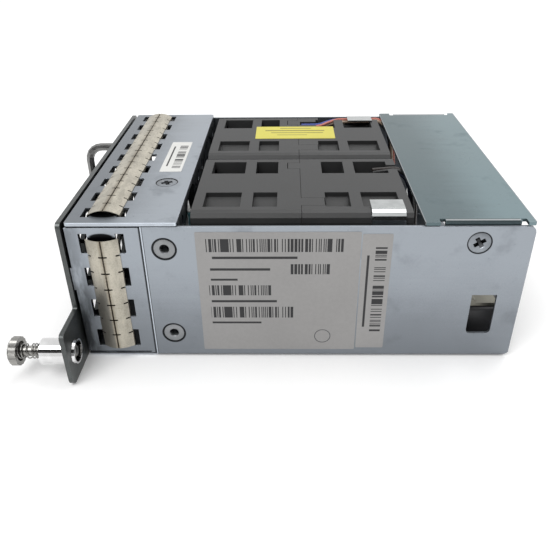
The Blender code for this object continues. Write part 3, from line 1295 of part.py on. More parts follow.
def stator_and_bearings(fan, end_name, centre_y):
    """The wound stator round the bearing tube, and the two bearings inside it."""
    front = end_name == "front"
    face = at(FAN_FROM_FRONT if front else FAN_END_FROM_FRONT)
    inward = 1 if front else -1
    aim = "-X" if front else "+X"
    seam = face + inward * FAN_HALF_LENGTH
    base = (seam, centre_y, FAN_CENTRE_Z)
    stator_low = BASE_THICKNESS + STATOR_FROM_BASE
    inner = BEARING_TUBE / 2 + STATOR_FIT
    low = stator_low + (COIL_LENGTH - STATOR_LENGTH) / 2
    high = low + STATOR_LENGTH
    coil = STATOR_DIAMETER * COIL_SHARE / 2
    profile = [
        (inner, stator_low + COIL_LENGTH),
        (coil, stator_low + COIL_LENGTH),
        (coil, high),
        (STATOR_DIAMETER / 2, high),
        (STATOR_DIAMETER / 2, low),
        (coil, low),
        (coil, stator_low),
        (inner, stator_low),
    ]
    stator = turned(fan + "_stator_" + end_name, profile, base, aim, 12, closed=True)
    finish(stator, (0.45, 0.24, 0.12), 0.4, 0.6)
    outer_start = BEARING_TUBE_END - BEARING_LENGTH - BEARING_FROM_TUBE_END
    for which, start in (("inner", BEARING_FROM_SEAM), ("outer", outer_start)):
        bearing = tube(fan + "_bearing_" + end_name + "_" + which, BEARING_OUTER / 2 - BEARING_FIT,
                       BEARING_BORE / 2, start, start + BEARING_LENGTH, base, aim, 10)
        finish(bearing, (0.55, 0.55, 0.55), 0.25, 1.0)


def fans():
    """Both fans, each with a front and a rear half that turn against each other."""
    for fan, centre_y in FAN_Y.items():
        for end_name in ("front", "rear"):
            fan_half(fan, end_name, centre_y)
            rotor(fan, end_name, centre_y)
            stator_and_bearings(fan, end_name, centre_y)


def clip(name, side):
    """A spring-steel clip that hooks over a fan's long top edge and down its side."""
    edge = FAN_Y["near" if side < 0 else "far"] + side * FAN_SIDE / 2
    gap = CLIP_LIFT
    out = edge + side * (gap + CLIP_SHEET)
    top = BODY_HEIGHT + gap + CLIP_SHEET
    outer_radius = FAN_CORNER_RADIUS + gap + CLIP_SHEET
    inner_radius = outer_radius - CLIP_SHEET
    end_y = edge - side * CLIP_ON_TOP
    low = BODY_HEIGHT - CLIP_DROP
    outline = rounded([
        (end_y, top, 0.0),
        (out, top, outer_radius),
        (out, low, 0.0),
        (out - side * CLIP_SHEET, low, 0.0),
        (out - side * CLIP_SHEET, top - CLIP_SHEET, inner_radius),
        (end_y, top - CLIP_SHEET, 0.0),
    ], steps=5)
    bracket = extruded(name, [outline], "YZ", at(CLIP_FROM_FRONT), at(CLIP_FROM_FRONT + CLIP_WIDTH))
    smooth(bracket)
    return finish(bracket, (0.8, 0.8, 0.8), 0.15, 1.0)


def rear_connector():
    """The blind-mate connector at the rear, and the bracket that holds it above the floor."""
    x1 = CONNECTOR_REAR_X
    x0 = x1 - CONNECTOR_LENGTH
    y0 = CONNECTOR_Y - CONNECTOR_WIDTH / 2
    y1 = CONNECTOR_Y + CONNECTOR_WIDTH / 2
    z0 = SHEET + SEAT + CONNECTOR_BASE
    z1 = z0 + CONNECTOR_HEIGHT
    housing = extruded("connector_housing", [rectangle(y0, y1, z0, z1, 0.0008)], "YZ", x0, x1)
    pockets = []
    half = CONTACT_POCKET / 2
    for row in (-1, 1):
        for column in range(CONTACT_COUNT):
            y = CONNECTOR_Y + (column - (CONTACT_COUNT - 1) / 2) * CONTACT_PITCH
            z = (z0 + z1) / 2 + row * CONTACT_PITCH / 2
            pockets.append((x1 - CONTACT_DEPTH, x1 + OVERCUT, y - half, y + half, z - half, z + half))
    combine(housing, [boxes("connector_pockets", pockets)], "DIFFERENCE")
    low = SHEET + SEAT
    foot = CONNECTOR_FOOT
    spans = []
    for y in (y0 + SHEET, y1 - SHEET - foot):
        spans.append((x0 + SHEET, x1 - SHEET, y, y + foot, low, z0 + SEAT))
    combine(housing, [boxes("connector_feet", spans)], "UNION")
    finish(housing, (0.05, 0.05, 0.05), 0.45, 0.0)
    sheet = BRACKET_SHEET
    front = x0 - SEAT
    over = z1 + SEAT
    top = z1 + BRACKET_ABOVE
    profile = rounded([
        (front - sheet, top, 0.0),
        (front - sheet, low + sheet, sheet / 2),
        (front - sheet - BRACKET_TOE, low + sheet, 0.0),
        (front - sheet - BRACKET_TOE, low, 0.0),
        (front, low, sheet),
        (front, over, sheet / 4),
        (x1 - BRACKET_LIP, over, 0.0),
        (x1 - BRACKET_LIP, over + sheet, 0.0),
        (front + BRACKET_BACK, over + sheet, 0.0),
        (front + BRACKET_BACK, top, sheet / 2),
    ])
    bracket = extruded("connector_bracket", [profile], "XZ", y0 + sheet, y1 - sheet)
    across = (y0 + BRACKET_WINDOW_SIDE, y1 - BRACKET_WINDOW_SIDE)
    height = (z0 + BRACKET_WINDOW_RIM, z1 - BRACKET_WINDOW_RIM)
    window = [(front - sheet - BRACKET_TOE - OVERCUT, front + SEAT / 2, *across, *height)]
    combine(bracket, [boxes("bracket_window", window)], "DIFFERENCE")
    return finish(bracket, (0.5, 0.5, 0.48), 0.4, 0.9)


def harnesses():
    """The leads of both fans, from the housings' rear edges down to the back of the connector."""
    wire = HARNESS_DIAMETER
    behind = at(FAN_END_FROM_FRONT)
    end = CONNECTOR_REAR_X - CONNECTOR_LENGTH - SEAT * 2
    plug_y = CONTACT_PITCH * 1.5
    plug_z = SHEET + SEAT + CONNECTOR_BASE + CONNECTOR_HEIGHT / 2
    far_edge = FAN_Y["far"] + FAN_SIDE / 2
    floor = SHEET + wire / 2 + SEAT
    lane = far_edge - wire / 2 - SHEET
    slot = far_edge - WIRE_SLOT_FROM_SIDE - WIRE_NOTCH_WIDTH / 2
    in_channel = BODY_HEIGHT - WIRE_CHANNEL_DEPTH + wire / 2 + WIRE_REST
    far_route = [
        (behind - 0.0268, slot, in_channel),
        (behind - 0.0240, slot, in_channel),
        (behind - 0.0205, slot + 0.0006, in_channel),
        (behind - 0.0172, far_edge - 0.0044, in_channel),
        (behind - 0.0139, lane, in_channel),
        (behind - 0.0107, lane, in_channel),
        (behind - 0.0027, lane, in_channel),
        (behind + 0.0012, lane - 0.0002, in_channel - 0.0003),
        (behind + 0.0050, lane - 0.0010, in_channel - 0.0040),
        (behind + 0.0066, lane - 0.0028, 0.0270),
        (behind + 0.0070, lane - 0.0050, 0.0170),
        (behind + 0.0066, lane - 0.0085, 0.0080),
        (behind + 0.0060, lane - 0.0150, floor + 0.0010),
        (behind + 0.0056, 0.0080, floor),
        (behind + 0.0062, -0.0080, floor + 0.0002),
        (behind + 0.0092, CONNECTOR_Y + 0.0060, floor + 0.0020),
        (end - 0.0036, CONNECTOR_Y + plug_y, plug_z - 0.0006),
        (end, CONNECTOR_Y + plug_y, plug_z),
    ]
    lead_y = near_lead_y()
    near_route = [
        (behind - 0.0070, lead_y - 0.0006, in_channel),
        (behind - 0.0040, lead_y, in_channel),
        (behind + 0.0006, lead_y, in_channel),
        (behind + 0.0040, lead_y - 0.0006, in_channel - 0.0030),
        (behind + 0.0056, lead_y - 0.0030, 0.0300),
        (behind + 0.0060, lead_y - 0.0070, 0.0210),
        (behind + 0.0080, CONNECTOR_Y - 0.0020, 0.0130),
        (end - 0.0040, CONNECTOR_Y - plug_y, plug_z + 0.0010),
        (end, CONNECTOR_Y - plug_y, plug_z),
    ]
    for name, route in (("fan_harness_far", far_route), ("fan_harness_near", near_route)):
        cord = rod(name, smooth_route(route, 3), wire, resolution=1)
        smooth(cord)
        finish(cord, (0.3, 0.05, 0.05), 0.5, 0.0)


def locating_pin(end_name):
    """A slim pin with a coned head that stands on the floor in the gap at one end of the near fan."""
    radius = PIN_DIAMETER / 2
    base = SHEET + SEAT
    neck = PIN_TOP - PIN_CONE_HEIGHT
    profile = [
        (0.0, PIN_TOP),
        (radius, neck),
        (radius - PIN_GROOVE / 4, neck - PIN_GROOVE),
        (radius, neck - PIN_GROOVE * 2),
        (radius, base),
        (0.0, base),
    ]
    place = (at(PIN_FROM_FRONT[end_name]), PIN_Y[end_name], 0.0)
    pin = turned("locating_pin_" + end_name, profile, place, "+Z", 10)
    return finish(pin, (0.2, 0.4, 0.42), 0.5, 0.0)


tray_channel()
front_frame()
front_top_strip()
face_plate()
handle()
captive_screw_ferrule()
captive_screw()
captive_screw_spring()
gaskets()
rear_cover()
fan_bulkhead()
rivets_and_screws()
fans()
clip("fan_clip_near", -1)
clip("fan_clip_far", 1)
rear_connector()
harnesses()
for pin_end in PIN_Y:
    locating_pin(pin_end)
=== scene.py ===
"""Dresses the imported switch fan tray: metalwork, fans, leads, labels and a plain studio.

X runs from the face plate to the open rear, Y from the captive screw's side to the handle's side,
Z is up, all in metres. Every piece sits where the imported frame's nodes say.
"""
import json
from math import cos, pi, radians, sin

import bmesh
import bpy
from bpy.props import FloatProperty, FloatVectorProperty, IntProperty, PointerProperty
from mathutils import Matrix, Vector


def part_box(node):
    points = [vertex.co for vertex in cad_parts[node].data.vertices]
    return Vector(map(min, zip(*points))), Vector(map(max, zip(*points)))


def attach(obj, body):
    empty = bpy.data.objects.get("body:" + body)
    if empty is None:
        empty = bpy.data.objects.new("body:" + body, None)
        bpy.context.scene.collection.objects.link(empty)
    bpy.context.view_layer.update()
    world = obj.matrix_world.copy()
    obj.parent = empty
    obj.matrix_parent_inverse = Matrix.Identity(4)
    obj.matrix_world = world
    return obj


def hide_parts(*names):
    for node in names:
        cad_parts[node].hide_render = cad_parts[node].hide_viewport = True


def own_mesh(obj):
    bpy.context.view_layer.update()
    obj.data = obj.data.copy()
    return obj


bl_info = {
    "name": "Switch fan tray dressing",
    "version": (1, 0, 0),
    "blender": (4, 5, 0),
    "location": "3D View > Sidebar > Fan Tray",
    "description": "Builds the finishes, labels, leads and studio of a switch fan tray",
    "category": "Object",
}

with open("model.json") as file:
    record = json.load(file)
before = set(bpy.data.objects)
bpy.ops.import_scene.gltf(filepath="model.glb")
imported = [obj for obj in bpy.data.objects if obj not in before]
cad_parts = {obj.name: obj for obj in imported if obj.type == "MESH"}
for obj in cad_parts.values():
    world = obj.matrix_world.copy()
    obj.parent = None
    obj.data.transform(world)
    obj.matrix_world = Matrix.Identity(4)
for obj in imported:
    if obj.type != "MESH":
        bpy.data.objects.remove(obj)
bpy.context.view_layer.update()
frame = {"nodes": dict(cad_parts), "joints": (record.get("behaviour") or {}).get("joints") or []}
NODES = frame["nodes"]

MM = 0.001
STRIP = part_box("front_top_strip")
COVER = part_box("rear_cover")
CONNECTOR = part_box("connector_housing")
RIVETS = [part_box(node) for node in ("rivet_near_lower", "rivet_near_upper")]
NEAR_WALL_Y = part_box("tray_channel")[0].y
FAR_WALL_Y = -NEAR_WALL_Y
TOP_Z = STRIP[1].z
BODY_FRONT_X = STRIP[0].x - 0.2 * MM
FAN_REAR_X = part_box("near_fan_housing_rear")[1].x
SEAM = 18.6  # millimetres from the front edge to the lap of the frame and the tray
CONTACT_SHEET = 0.12 * MM
CONTACT_SLIT = 0.42 * MM
LABEL_THICKNESS = 0.08 * MM
SHARP_EDGE = radians(34)
INK = (0.012, 0.012, 0.014)

# Across a contact strip, from its crown to its edge, in halves of its width
CONTACT_PROFILE = (0.0, 0.025, 0.06, 0.12, 0.20, 0.27, 0.36, 0.46, 0.56, 0.66, 0.76, 0.84, 0.92, 1.0)

# The routes of the two lead bundles
FAR_EDGE_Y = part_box("far_fan_housing_rear")[1].y
LANE_Y = FAR_EDGE_Y - 0.0019
SLOT_Y = FAR_EDGE_Y - 0.0083
LEAD_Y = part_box("near_fan_housing_rear")[1].y - 0.0088
CHANNEL_Z = TOP_Z - 0.00125
FLOOR_Z = 0.00205
PLUG_X = CONNECTOR[0].x - 0.0003
PLUG_Y = (CONNECTOR[0].y + CONNECTOR[1].y) / 2
PLUG_Z = CONNECTOR[1].z - 0.0045
PLUG_SIDE = 0.0045
FAR_ROUTE = [(FAN_REAR_X + x, y, z) for x, y, z in (
    (-0.0268, SLOT_Y, CHANNEL_Z),
    (-0.0240, SLOT_Y, CHANNEL_Z),
    (-0.0205, SLOT_Y + 0.0006, CHANNEL_Z),
    (-0.0172, FAR_EDGE_Y - 0.0044, CHANNEL_Z),
    (-0.0139, LANE_Y, CHANNEL_Z),
    (-0.0107, LANE_Y, CHANNEL_Z),
    (-0.0027, LANE_Y, CHANNEL_Z),
    (0.0012, LANE_Y - 0.0002, CHANNEL_Z - 0.0003),
    (0.0050, LANE_Y - 0.0010, CHANNEL_Z - 0.0040),
    (0.0066, LANE_Y - 0.0028, 0.0270),
    (0.0070, LANE_Y - 0.0050, 0.0170),
    (0.0066, LANE_Y - 0.0085, 0.0080),
    (0.0060, LANE_Y - 0.0150, FLOOR_Z + 0.0010),
    (0.0056, 0.0080, FLOOR_Z),
    (0.0062, -0.0080, FLOOR_Z + 0.0002),
    (0.0092, PLUG_Y + 0.0060, FLOOR_Z + 0.0020),
)] + [
    (PLUG_X - 0.0036, PLUG_Y + PLUG_SIDE, PLUG_Z - 0.0006),
    (PLUG_X, PLUG_Y + PLUG_SIDE, PLUG_Z),
]
NEAR_ROUTE = [(FAN_REAR_X + x, y, z) for x, y, z in (
    (-0.0070, LEAD_Y - 0.0006, CHANNEL_Z),
    (-0.0040, LEAD_Y, CHANNEL_Z),
    (0.0006, LEAD_Y, CHANNEL_Z),
    (0.0040, LEAD_Y - 0.0006, CHANNEL_Z - 0.0030),
    (0.0056, LEAD_Y - 0.0030, 0.0300),
    (0.0060, LEAD_Y - 0.0070, 0.0210),
    (0.0080, PLUG_Y - 0.0020, 0.0130),
)] + [
    (PLUG_X - 0.0040, PLUG_Y - PLUG_SIDE, PLUG_Z + 0.0010),
    (PLUG_X, PLUG_Y - PLUG_SIDE, PLUG_Z),
]


def from_front(distance_mm):
    """World X of a point this many millimetres behind the body's front edge."""
    return BODY_FRONT_X + distance_mm * MM


# Shader helpers


class Value:
    """A number that varies over a surface, so that shader maths reads as plain arithmetic."""

    def __init__(self, tree, socket):
        self.tree = tree
        self.socket = socket

    def apply(self, operation, *others, swap=False):
        node = self.tree.nodes.new("ShaderNodeMath")
        node.operation = operation
        operands = [self, *others]
        if swap:
            operands.reverse()
        for place, operand in zip(node.inputs, operands):
            if isinstance(operand, Value):
                self.tree.links.new(operand.socket, place)
            else:
                place.default_value = operand
        return Value(self.tree, node.outputs[0])

    def __add__(self, other):
        return self.apply("ADD", other)

    __radd__ = __add__

    def __sub__(self, other):
        return self.apply("SUBTRACT", other)

    def __rsub__(self, other):
        return self.apply("SUBTRACT", other, swap=True)

    def __mul__(self, other):
        return self.apply("MULTIPLY", other)

    __rmul__ = __mul__

    def __truediv__(self, other):
        return self.apply("DIVIDE", other)

    def __pow__(self, other):
        if other == 2.0:
            return self.apply("MULTIPLY", self)
        return self.apply("POWER", other)

    def above(self, level):
        return self.apply("GREATER_THAN", level)

    def below(self, level):
        return self.apply("LESS_THAN", level)

    def larger_of(self, other):
        return self.apply("MAXIMUM", other)

    def size(self):
        return self.apply("ABSOLUTE")

    def ramp(self, low, high):
        """0 at low and 1 at high, smoothed between them."""
        node = self.tree.nodes.new("ShaderNodeMapRange")
        node.interpolation_type = "SMOOTHSTEP"
        self.tree.links.new(self.socket, node.inputs["Value"])
        node.inputs["From Min"].default_value = low
        node.inputs["From Max"].default_value = high
        return Value(self.tree, node.outputs["Result"])


class Finish:
    """One material, built up node by node round its Principled shader."""

    def __init__(self, name, roughness=0.5, metallic=0.0, **constants):
        self.material = bpy.data.materials.new(name)
        self.material.use_nodes = True
        self.tree = self.material.node_tree
        self.shader = self.tree.nodes["Principled BSDF"]
        self.shader.inputs["Roughness"].default_value = roughness
        self.shader.inputs["Metallic"].default_value = metallic
        for socket, value in constants.items():
            self.shader.inputs[socket.replace("_", " ")].default_value = value
        self._position = None

    def node(self, kind, settings=None, **sockets):
        """Add a node: its settings first, then the values or links of its sockets."""
        made = self.tree.nodes.new("ShaderNode" + kind)
        for setting, value in (settings or {}).items():
            setattr(made, setting, value)
        for socket, value in sockets.items():
            self.feed(made.inputs[socket.replace("_", " ")], value)
        return made

    def feed(self, socket, value):
        """Link or set one socket."""
        if isinstance(value, Value):
            self.tree.links.new(value.socket, socket)
        elif isinstance(value, bpy.types.NodeSocket):
            self.tree.links.new(value, socket)
        elif isinstance(value, tuple) and len(value) == 3 and socket.type == "RGBA":
            socket.default_value = (*value, 1.0)
        else:
            socket.default_value = value

    def position(self):
        """The point in the frame's own axes, in metres."""
        if self._position is None:
            self._position = self.node("TexCoord").outputs["Object"]
        return self._position

    def axes(self):
        """The point's X, Y and Z as three values."""
        split = self.node("SeparateXYZ", Vector=self.position())
        return [Value(self.tree, output) for output in split.outputs]

    def noise(self, scale, detail=3.0, roughness=0.55, stretch=None):
        """Soft noise; scale counts features per metre."""
        place = self.position()
        if stretch:
            place = self.node("Mapping", Vector=place, Scale=stretch).outputs[0]
        made = self.node("TexNoise", Vector=place, Scale=float(scale), Detail=detail, Roughness=roughness)
        return Value(self.tree, made.outputs["Fac"])

    def mix(self, factor, low, high):
        """A colour between two others."""
        made = self.node("Mix", {"data_type": "RGBA"})
        self.feed(made.inputs[0], factor)
        self.feed(made.inputs[6], low)
        self.feed(made.inputs[7], high)
        return made.outputs[2]

    def edges(self, radius):
        """1 along the piece's convex and concave edges, 0 on its flats."""
        soft = self.node("Bevel", {"samples": 8}, Radius=radius).outputs[0]
        true = self.node("NewGeometry").outputs["True Normal"]
        made = self.node("VectorMath", {"operation": "DOT_PRODUCT"})
        self.feed(made.inputs[0], soft)
        self.feed(made.inputs[1], true)
        return (1.0 - Value(self.tree, made.outputs["Value"])).ramp(0.04, 0.26)

    def colour(self, value):
        self.feed(self.shader.inputs["Base Color"], value)
        return self

    def roughness(self, value):
        self.feed(self.shader.inputs["Roughness"], value)
        return self

    def relief(self, height, depth, bevel=0.0):
        """Bump from a height value, over edges that are softened a little."""
        sockets = {"Height": height, "Strength": 1.0, "Distance": depth}
        if bevel > 0.0:
            sockets["Normal"] = self.node("Bevel", {"samples": 4}, Radius=bevel).outputs[0]
        self.feed(self.shader.inputs["Normal"], self.node("Bump", **sockets).outputs[0])
        return self


def within(across, low, high, soft=0.00003):
    """1 where a value lies between two levels."""
    return across.ramp(low - soft, low + soft) * (1.0 - across.ramp(high - soft, high + soft))


def tinted(colour, factor):
    """A colour made lighter or darker, worked out in Python."""
    return tuple(min(channel * factor, 1.0) for channel in colour)


# Finishes


def zinc_sheet(name, colour, roughness=0.36, shade=None, rub=0.5, mottle=1.0, marks=(), inner=0.14):
    """Zinc-plated sheet: crystalline grain, faint rolling lines, cloudy patches, smudges and rubbed edges.

    The shade is (axis, low, high, share): painted light, the share of the tone that rises along one axis,
    so that the sheet is lighter where more light falls. Marks are pairs of a rule that gives a mask from
    the point's axes and the tone there, as a factor or a colour.
    What lies behind the outer faces is darker, down to the inner factor: painted shade, with dust.
    """
    finish = Finish(name, metallic=0.8)
    cloud = finish.noise(38, 3.0, 0.6)
    grain = finish.noise(3400, 3.0, 0.7)
    rolling = finish.noise(420, 3.0, 0.65, stretch=(0.06, 1.0, 1.0))
    smudge = finish.noise(110, 4.0, 0.6).ramp(0.54, 0.74)
    pits = finish.noise(1300, 2.0, 0.5).ramp(0.68, 0.78)
    axes = finish.axes()
    tone = cloud * 0.45 + rolling * 0.20 + grain * 0.35
    # Painted light: part of the tone rises along one axis, lighter where more light falls
    if shade:
        axis, low, high, share = shade
        tone = tone * (1.0 - share) + axes[axis].ramp(low, high) * share
    dark, pale = tinted(colour, 1.0 - 0.22 * mottle), tinted(colour, 1.0 + 0.16 * mottle)
    body = finish.mix(tone.ramp(0.30, 0.70), dark, pale)
    dulled = finish.mix((smudge * 0.30 + pits * 0.35) * mottle, body, tinted(colour, 0.58))
    edge = finish.edges(0.00025)
    shown = finish.mix(edge * rub, dulled, tinted(colour, 1.6))
    for rule, tone in marks:
        tone = tone if isinstance(tone, tuple) else tinted(colour, tone)
        shown = finish.mix(rule(finish, axes), shown, tone)
    sheet = 0.5 * MM
    # Painted shade with dust: faces within the walls are darker
    inside_shade_and_dust = within(axes[1], NEAR_WALL_Y + sheet, FAR_WALL_Y - sheet, 0.0001)
    inside_shade_and_dust = inside_shade_and_dust * within(axes[2], sheet, TOP_Z - sheet, 0.0001)
    finish.colour(finish.mix(inside_shade_and_dust * 0.9, shown, tinted(colour, inner)))
    finish.roughness(roughness + 0.12 * (cloud - 0.5) + 0.18 * (grain - 0.5) + 0.10 * smudge)
    finish.relief(grain * 0.7 + rolling * 0.3, 0.000016, bevel=0.00012)
    return finish.material


def band(axis, low, high, span=None):
    """A mark between two levels of one axis, over all of it or over a span along X."""
    if span is None:
        return lambda finish, axes: within(axes[axis], low, high, 0.00006)
    return lambda finish, axes: within(axes[axis], low, high, 0.00008) * within(axes[0], *span, 0.0001)


def ring_gap(low, high, other=2):
    """A mark round a fastener's head, from the head's box: the shadow in its seat."""
    centre = (low + high) / 2
    radius = (high.x - low.x) / 2

    def rule(finish, axes):
        reach = ((axes[0] - centre.x) ** 2.0 + (axes[other] - centre[other]) ** 2.0) ** 0.5
        return within(reach, radius - 0.0002, radius + 0.00032, 0.00005)

    return rule


def under_arch(node, axis, ends):
    """A mark on the sheet under a contact strip: painted shade there, and a painted shadow in a round patch
    off its open end.
    """
    low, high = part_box(node)
    middle = (low.x + high.x) / 2
    half = (high.x - low.x) / 2 - 0.0004

    def rule(finish, axes):
        cover = within(axes[0], low.x + 0.0004, high.x - 0.0004, 0.0002) * within(axes[axis], *ends, 0.0002)
        edge = ends[1] if axis == 2 else ends[0]
        reach = ((axes[0] - middle) / (half * 0.88)) ** 2.0 + ((axes[axis] - edge) / 0.0011) ** 2.0
        return cover.larger_of(1.0 - reach.ramp(0.6, 1.15))

    return rule


def front_dark_streaks(finish, axes):
    """A mark of dark streaks between the frame's front edge and its contact strips, stronger towards the
    bottom.
    """
    streak = finish.noise(330, 3.0, 0.65, stretch=(1.0, 0.3, 0.3)).ramp(0.36, 0.60)
    reach = 1.0 - axes[0].ramp(BODY_FRONT_X, BODY_FRONT_X + 0.0062)
    return streak * reach * (0.50 + 0.50 * (1.0 - axes[2].ramp(0.010, 0.034)))


def contact_strip(name, colour, crown):
    """Thin springy contact strip: satin, rolled, tarnished in patches and along the crease of its crown, with
    a painted reflection that darkens its lower front half.
    """
    finish = Finish(name, metallic=0.75)
    rub = finish.noise(520, 4.0, 0.7, stretch=(1.0, 0.22, 0.22))
    cloud = finish.noise(150, 3.0, 0.6)
    speck = finish.noise(2600, 3.0, 0.65)
    tone = rub * 0.35 + cloud * 0.35 + speck * 0.30
    body = finish.mix(tone.ramp(0.36, 0.62), tinted(colour, 0.66), tinted(colour, 1.12))
    specked = finish.mix(speck.ramp(0.60, 0.74) * 0.45, body, tinted(colour, 0.45))
    axes = finish.axes()
    reach = (axes[0] - crown).size()
    halo = (1.0 - reach.ramp(0.0002, 0.0011)) * speck.ramp(0.30, 0.62)
    browned = finish.mix(halo * 0.6, specked, (0.16, 0.125, 0.07))
    # Painted reflection of the dark ear: the half in front of the crown is darker towards the bottom
    shaded = (1.0 - axes[0].ramp(crown - 0.0009, crown - 0.0002)) * (1.0 - axes[2].ramp(0.019, 0.029))
    dimmed = finish.mix(shaded * 0.72, browned, (0.11, 0.108, 0.10))
    line = (1.0 - reach.ramp(0.00012, 0.00026)) * rub.ramp(0.30, 0.50)
    finish.colour(finish.mix(line * 0.95, dimmed, (0.03, 0.02, 0.012)))
    finish.roughness(0.30 + 0.22 * rub)
    finish.relief(rub * 0.6 + speck * 0.4, 0.00002)
    return finish.material


def polished_metal(name, colour, roughness=0.12, wear=0.5):
    """Plated or turned metal with haze, and scratches where it is worn."""
    finish = Finish(name, metallic=1.0)
    scratch = finish.noise(1500, 4.0, 0.7, stretch=(0.15, 1.0, 1.0))
    haze = finish.noise(180, 3.0, 0.6)
    finish.colour(finish.mix(haze.ramp(0.3, 0.75), tinted(colour, 0.84), tinted(colour, 1.08)))
    finish.roughness(roughness + wear * 0.16 * scratch + 0.06 * haze)
    finish.relief(scratch, wear * 0.000006, bevel=0.00006)
    return finish.material


def moulded_plastic(name, colour, roughness=0.5, grain=0.000012):
    """Spark-textured moulded plastic, a little rubbed on its edges."""
    finish = Finish(name, Specular_IOR_Level=0.42)
    texture = finish.noise(3600, 2.0, 0.6)
    patch = finish.noise(60, 3.0, 0.6)
    body = finish.mix(patch.ramp(0.3, 0.7), tinted(colour, 0.88), tinted(colour, 1.12))
    edge = finish.edges(0.0003)
    finish.colour(finish.mix(edge * 0.35, body, tinted(colour, 1.7)))
    finish.roughness(roughness + 0.12 * (patch - 0.5) + 0.10 * (texture - 0.5))
    finish.relief(texture, grain, bevel=0.00015)
    return finish.material


def wire_jacket(name, colour):
    """Smooth extruded insulation."""
    finish = Finish(name, Coat_Weight=0.15)
    patch = finish.noise(420, 2.0, 0.5)
    finish.colour(finish.mix(patch, tinted(colour, 0.82), tinted(colour, 1.1)))
    finish.roughness(0.36 + 0.14 * patch)
    return finish.material


def printed_plate(name, colour, fields, other, along, ink):
    """A label's paper with generic bars: each field is (X low, X high, low, high on the other axis, pitch).

    A field with a pitch is cut into bars that follow each other along one axis. One without is a line.
    """
    finish = Finish(name, Specular_IOR_Level=0.35)
    axes = finish.axes()
    paper = finish.noise(900, 3.0, 0.6)
    yellowing = finish.noise(45, 2.0, 0.5)
    cloud = (paper * 0.4 + yellowing * 0.6).ramp(0.3, 0.7)
    body = finish.mix(cloud, tinted(colour, 0.94), tinted(colour, 1.05))
    mask = None
    for x_low, x_high, low, high, pitch in fields:
        field = within(axes[other], low, high) * within(axes[0], x_low, x_high)
        if pitch > 0.0:
            count = (axes[along] / pitch).apply("FLOOR")
            draw = finish.node("TexWhiteNoise", {"noise_dimensions": "1D"}, W=count)
            field = field * Value(finish.tree, draw.outputs["Value"]).above(0.46)
        mask = field if mask is None else mask.larger_of(field)
    finish.colour(finish.mix(mask * 0.96, body, ink))
    finish.roughness(0.42 + 0.12 * paper)
    finish.relief(paper, 0.000008)
    return finish.material


# Mesh helpers


def linked(name, data):
    """A new object in the scene."""
    obj = bpy.data.objects.new(name, data)
    bpy.context.scene.collection.objects.link(obj)
    return obj


def painted(mesh, finish):
    """Give a mesh one finish."""
    mesh.materials.clear()
    mesh.materials.append(finish)


def smoothed(mesh, angle=SHARP_EDGE):
    """Shade a mesh's round faces smooth and keep its edges sharp."""
    mesh.shade_smooth()
    mesh.set_sharp_from_angle(angle=angle)


def put(name, mesh, finish, slot, replaced=False):
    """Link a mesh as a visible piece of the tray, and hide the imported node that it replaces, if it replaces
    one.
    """
    obj = linked(name, mesh)
    painted(mesh, finish)
    smoothed(mesh)
    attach(obj, "tray")
    if replaced:
        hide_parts(slot)
    return obj


def bridge(shape, rings, capped=False):
    """Faces from each ring of vertices to the next, where a ring may be one point, and over both ends."""
    for low, high in zip(rings, rings[1:]):
        count = max(len(low), len(high))
        for k in range(count):
            after = (k + 1) % count
            corners = (low[k % len(low)], low[after % len(low)], high[after % len(high)], high[k % len(high)])
            corners = list(dict.fromkeys(corners))
            if len(corners) > 2:
                shape.faces.new(corners)
    if capped:
        shape.faces.new(rings[0][::-1])
        shape.faces.new(rings[-1])


def circle(steps):
    """Cosine and sine of each step round a full turn."""
    return [(cos(2 * pi * k / steps), sin(2 * pi * k / steps)) for k in range(steps)]


def mesh_of(name, shape):
    """Turn a bmesh into a mesh with outward faces."""
    bmesh.ops.recalc_face_normals(shape, faces=shape.faces)
    mesh = bpy.data.meshes.new(name)
    shape.to_mesh(mesh)
    shape.free()
    return mesh


def lathe(profile, steps):
    """A turned solid about +Z from (radius, height) points, as a bmesh."""
    shape = bmesh.new()
    rings = []
    for radius, height in profile:
        around = circle(steps) if radius > 0.0 else [(0.0, 0.0)]
        rings.append([shape.verts.new((radius * c, radius * s, height)) for c, s in around])
    bridge(shape, rings)
    return shape


def aimed(place, direction):
    """A matrix that stands local +Z along a direction."""
    turn = Vector((0, 0, 1)).rotation_difference(Vector(direction)).to_matrix().to_4x4()
    return Matrix.Translation(place) @ turn


def plate_mesh(name, corners, thickness, radius=0.0004):
    """A thin plate from four corners in order, with rounded corners, standing proud by its thickness."""
    points = [Vector(corner) for corner in corners]
    normal = (points[1] - points[0]).cross(points[3] - points[0]).normalized()
    outline = []
    for before, corner, after in zip(points[-1:] + points[:-1], points, points[1:] + points[:1]):
        back = (before - corner).normalized()
        ahead = (after - corner).normalized()
        for step in range(5):
            angle = step / 4
            outline.append(corner + back * radius * (1 - angle) ** 2 + ahead * radius * angle**2)
    shape = bmesh.new()
    rings = [[shape.verts.new(point + normal * lift) for point in outline] for lift in (0.0, thickness)]
    bridge(shape, rings, capped=True)
    return mesh_of(name, shape)


def headings(route):
    """The direction of a route at each of its points."""
    return [(after - before).normalized() for before, after in zip(route[:1] + route, route[1:] + route[-1:])]


def swept(name, points, radius, sides=10):
    """A round tube along points, with the cross-section carried without twist."""
    shape = bmesh.new()
    route = [Vector(point) for point in points]
    side = (route[1] - route[0]).normalized().orthogonal().normalized()
    rings = []
    for point, ahead in zip(route, headings(route)):
        side = (side - ahead * side.dot(ahead)).normalized()
        other = ahead.cross(side)
        rings.append([shape.verts.new(point + (side * c + other * s) * radius) for c, s in circle(sides)])
    bridge(shape, rings, capped=True)
    return mesh_of(name, shape)


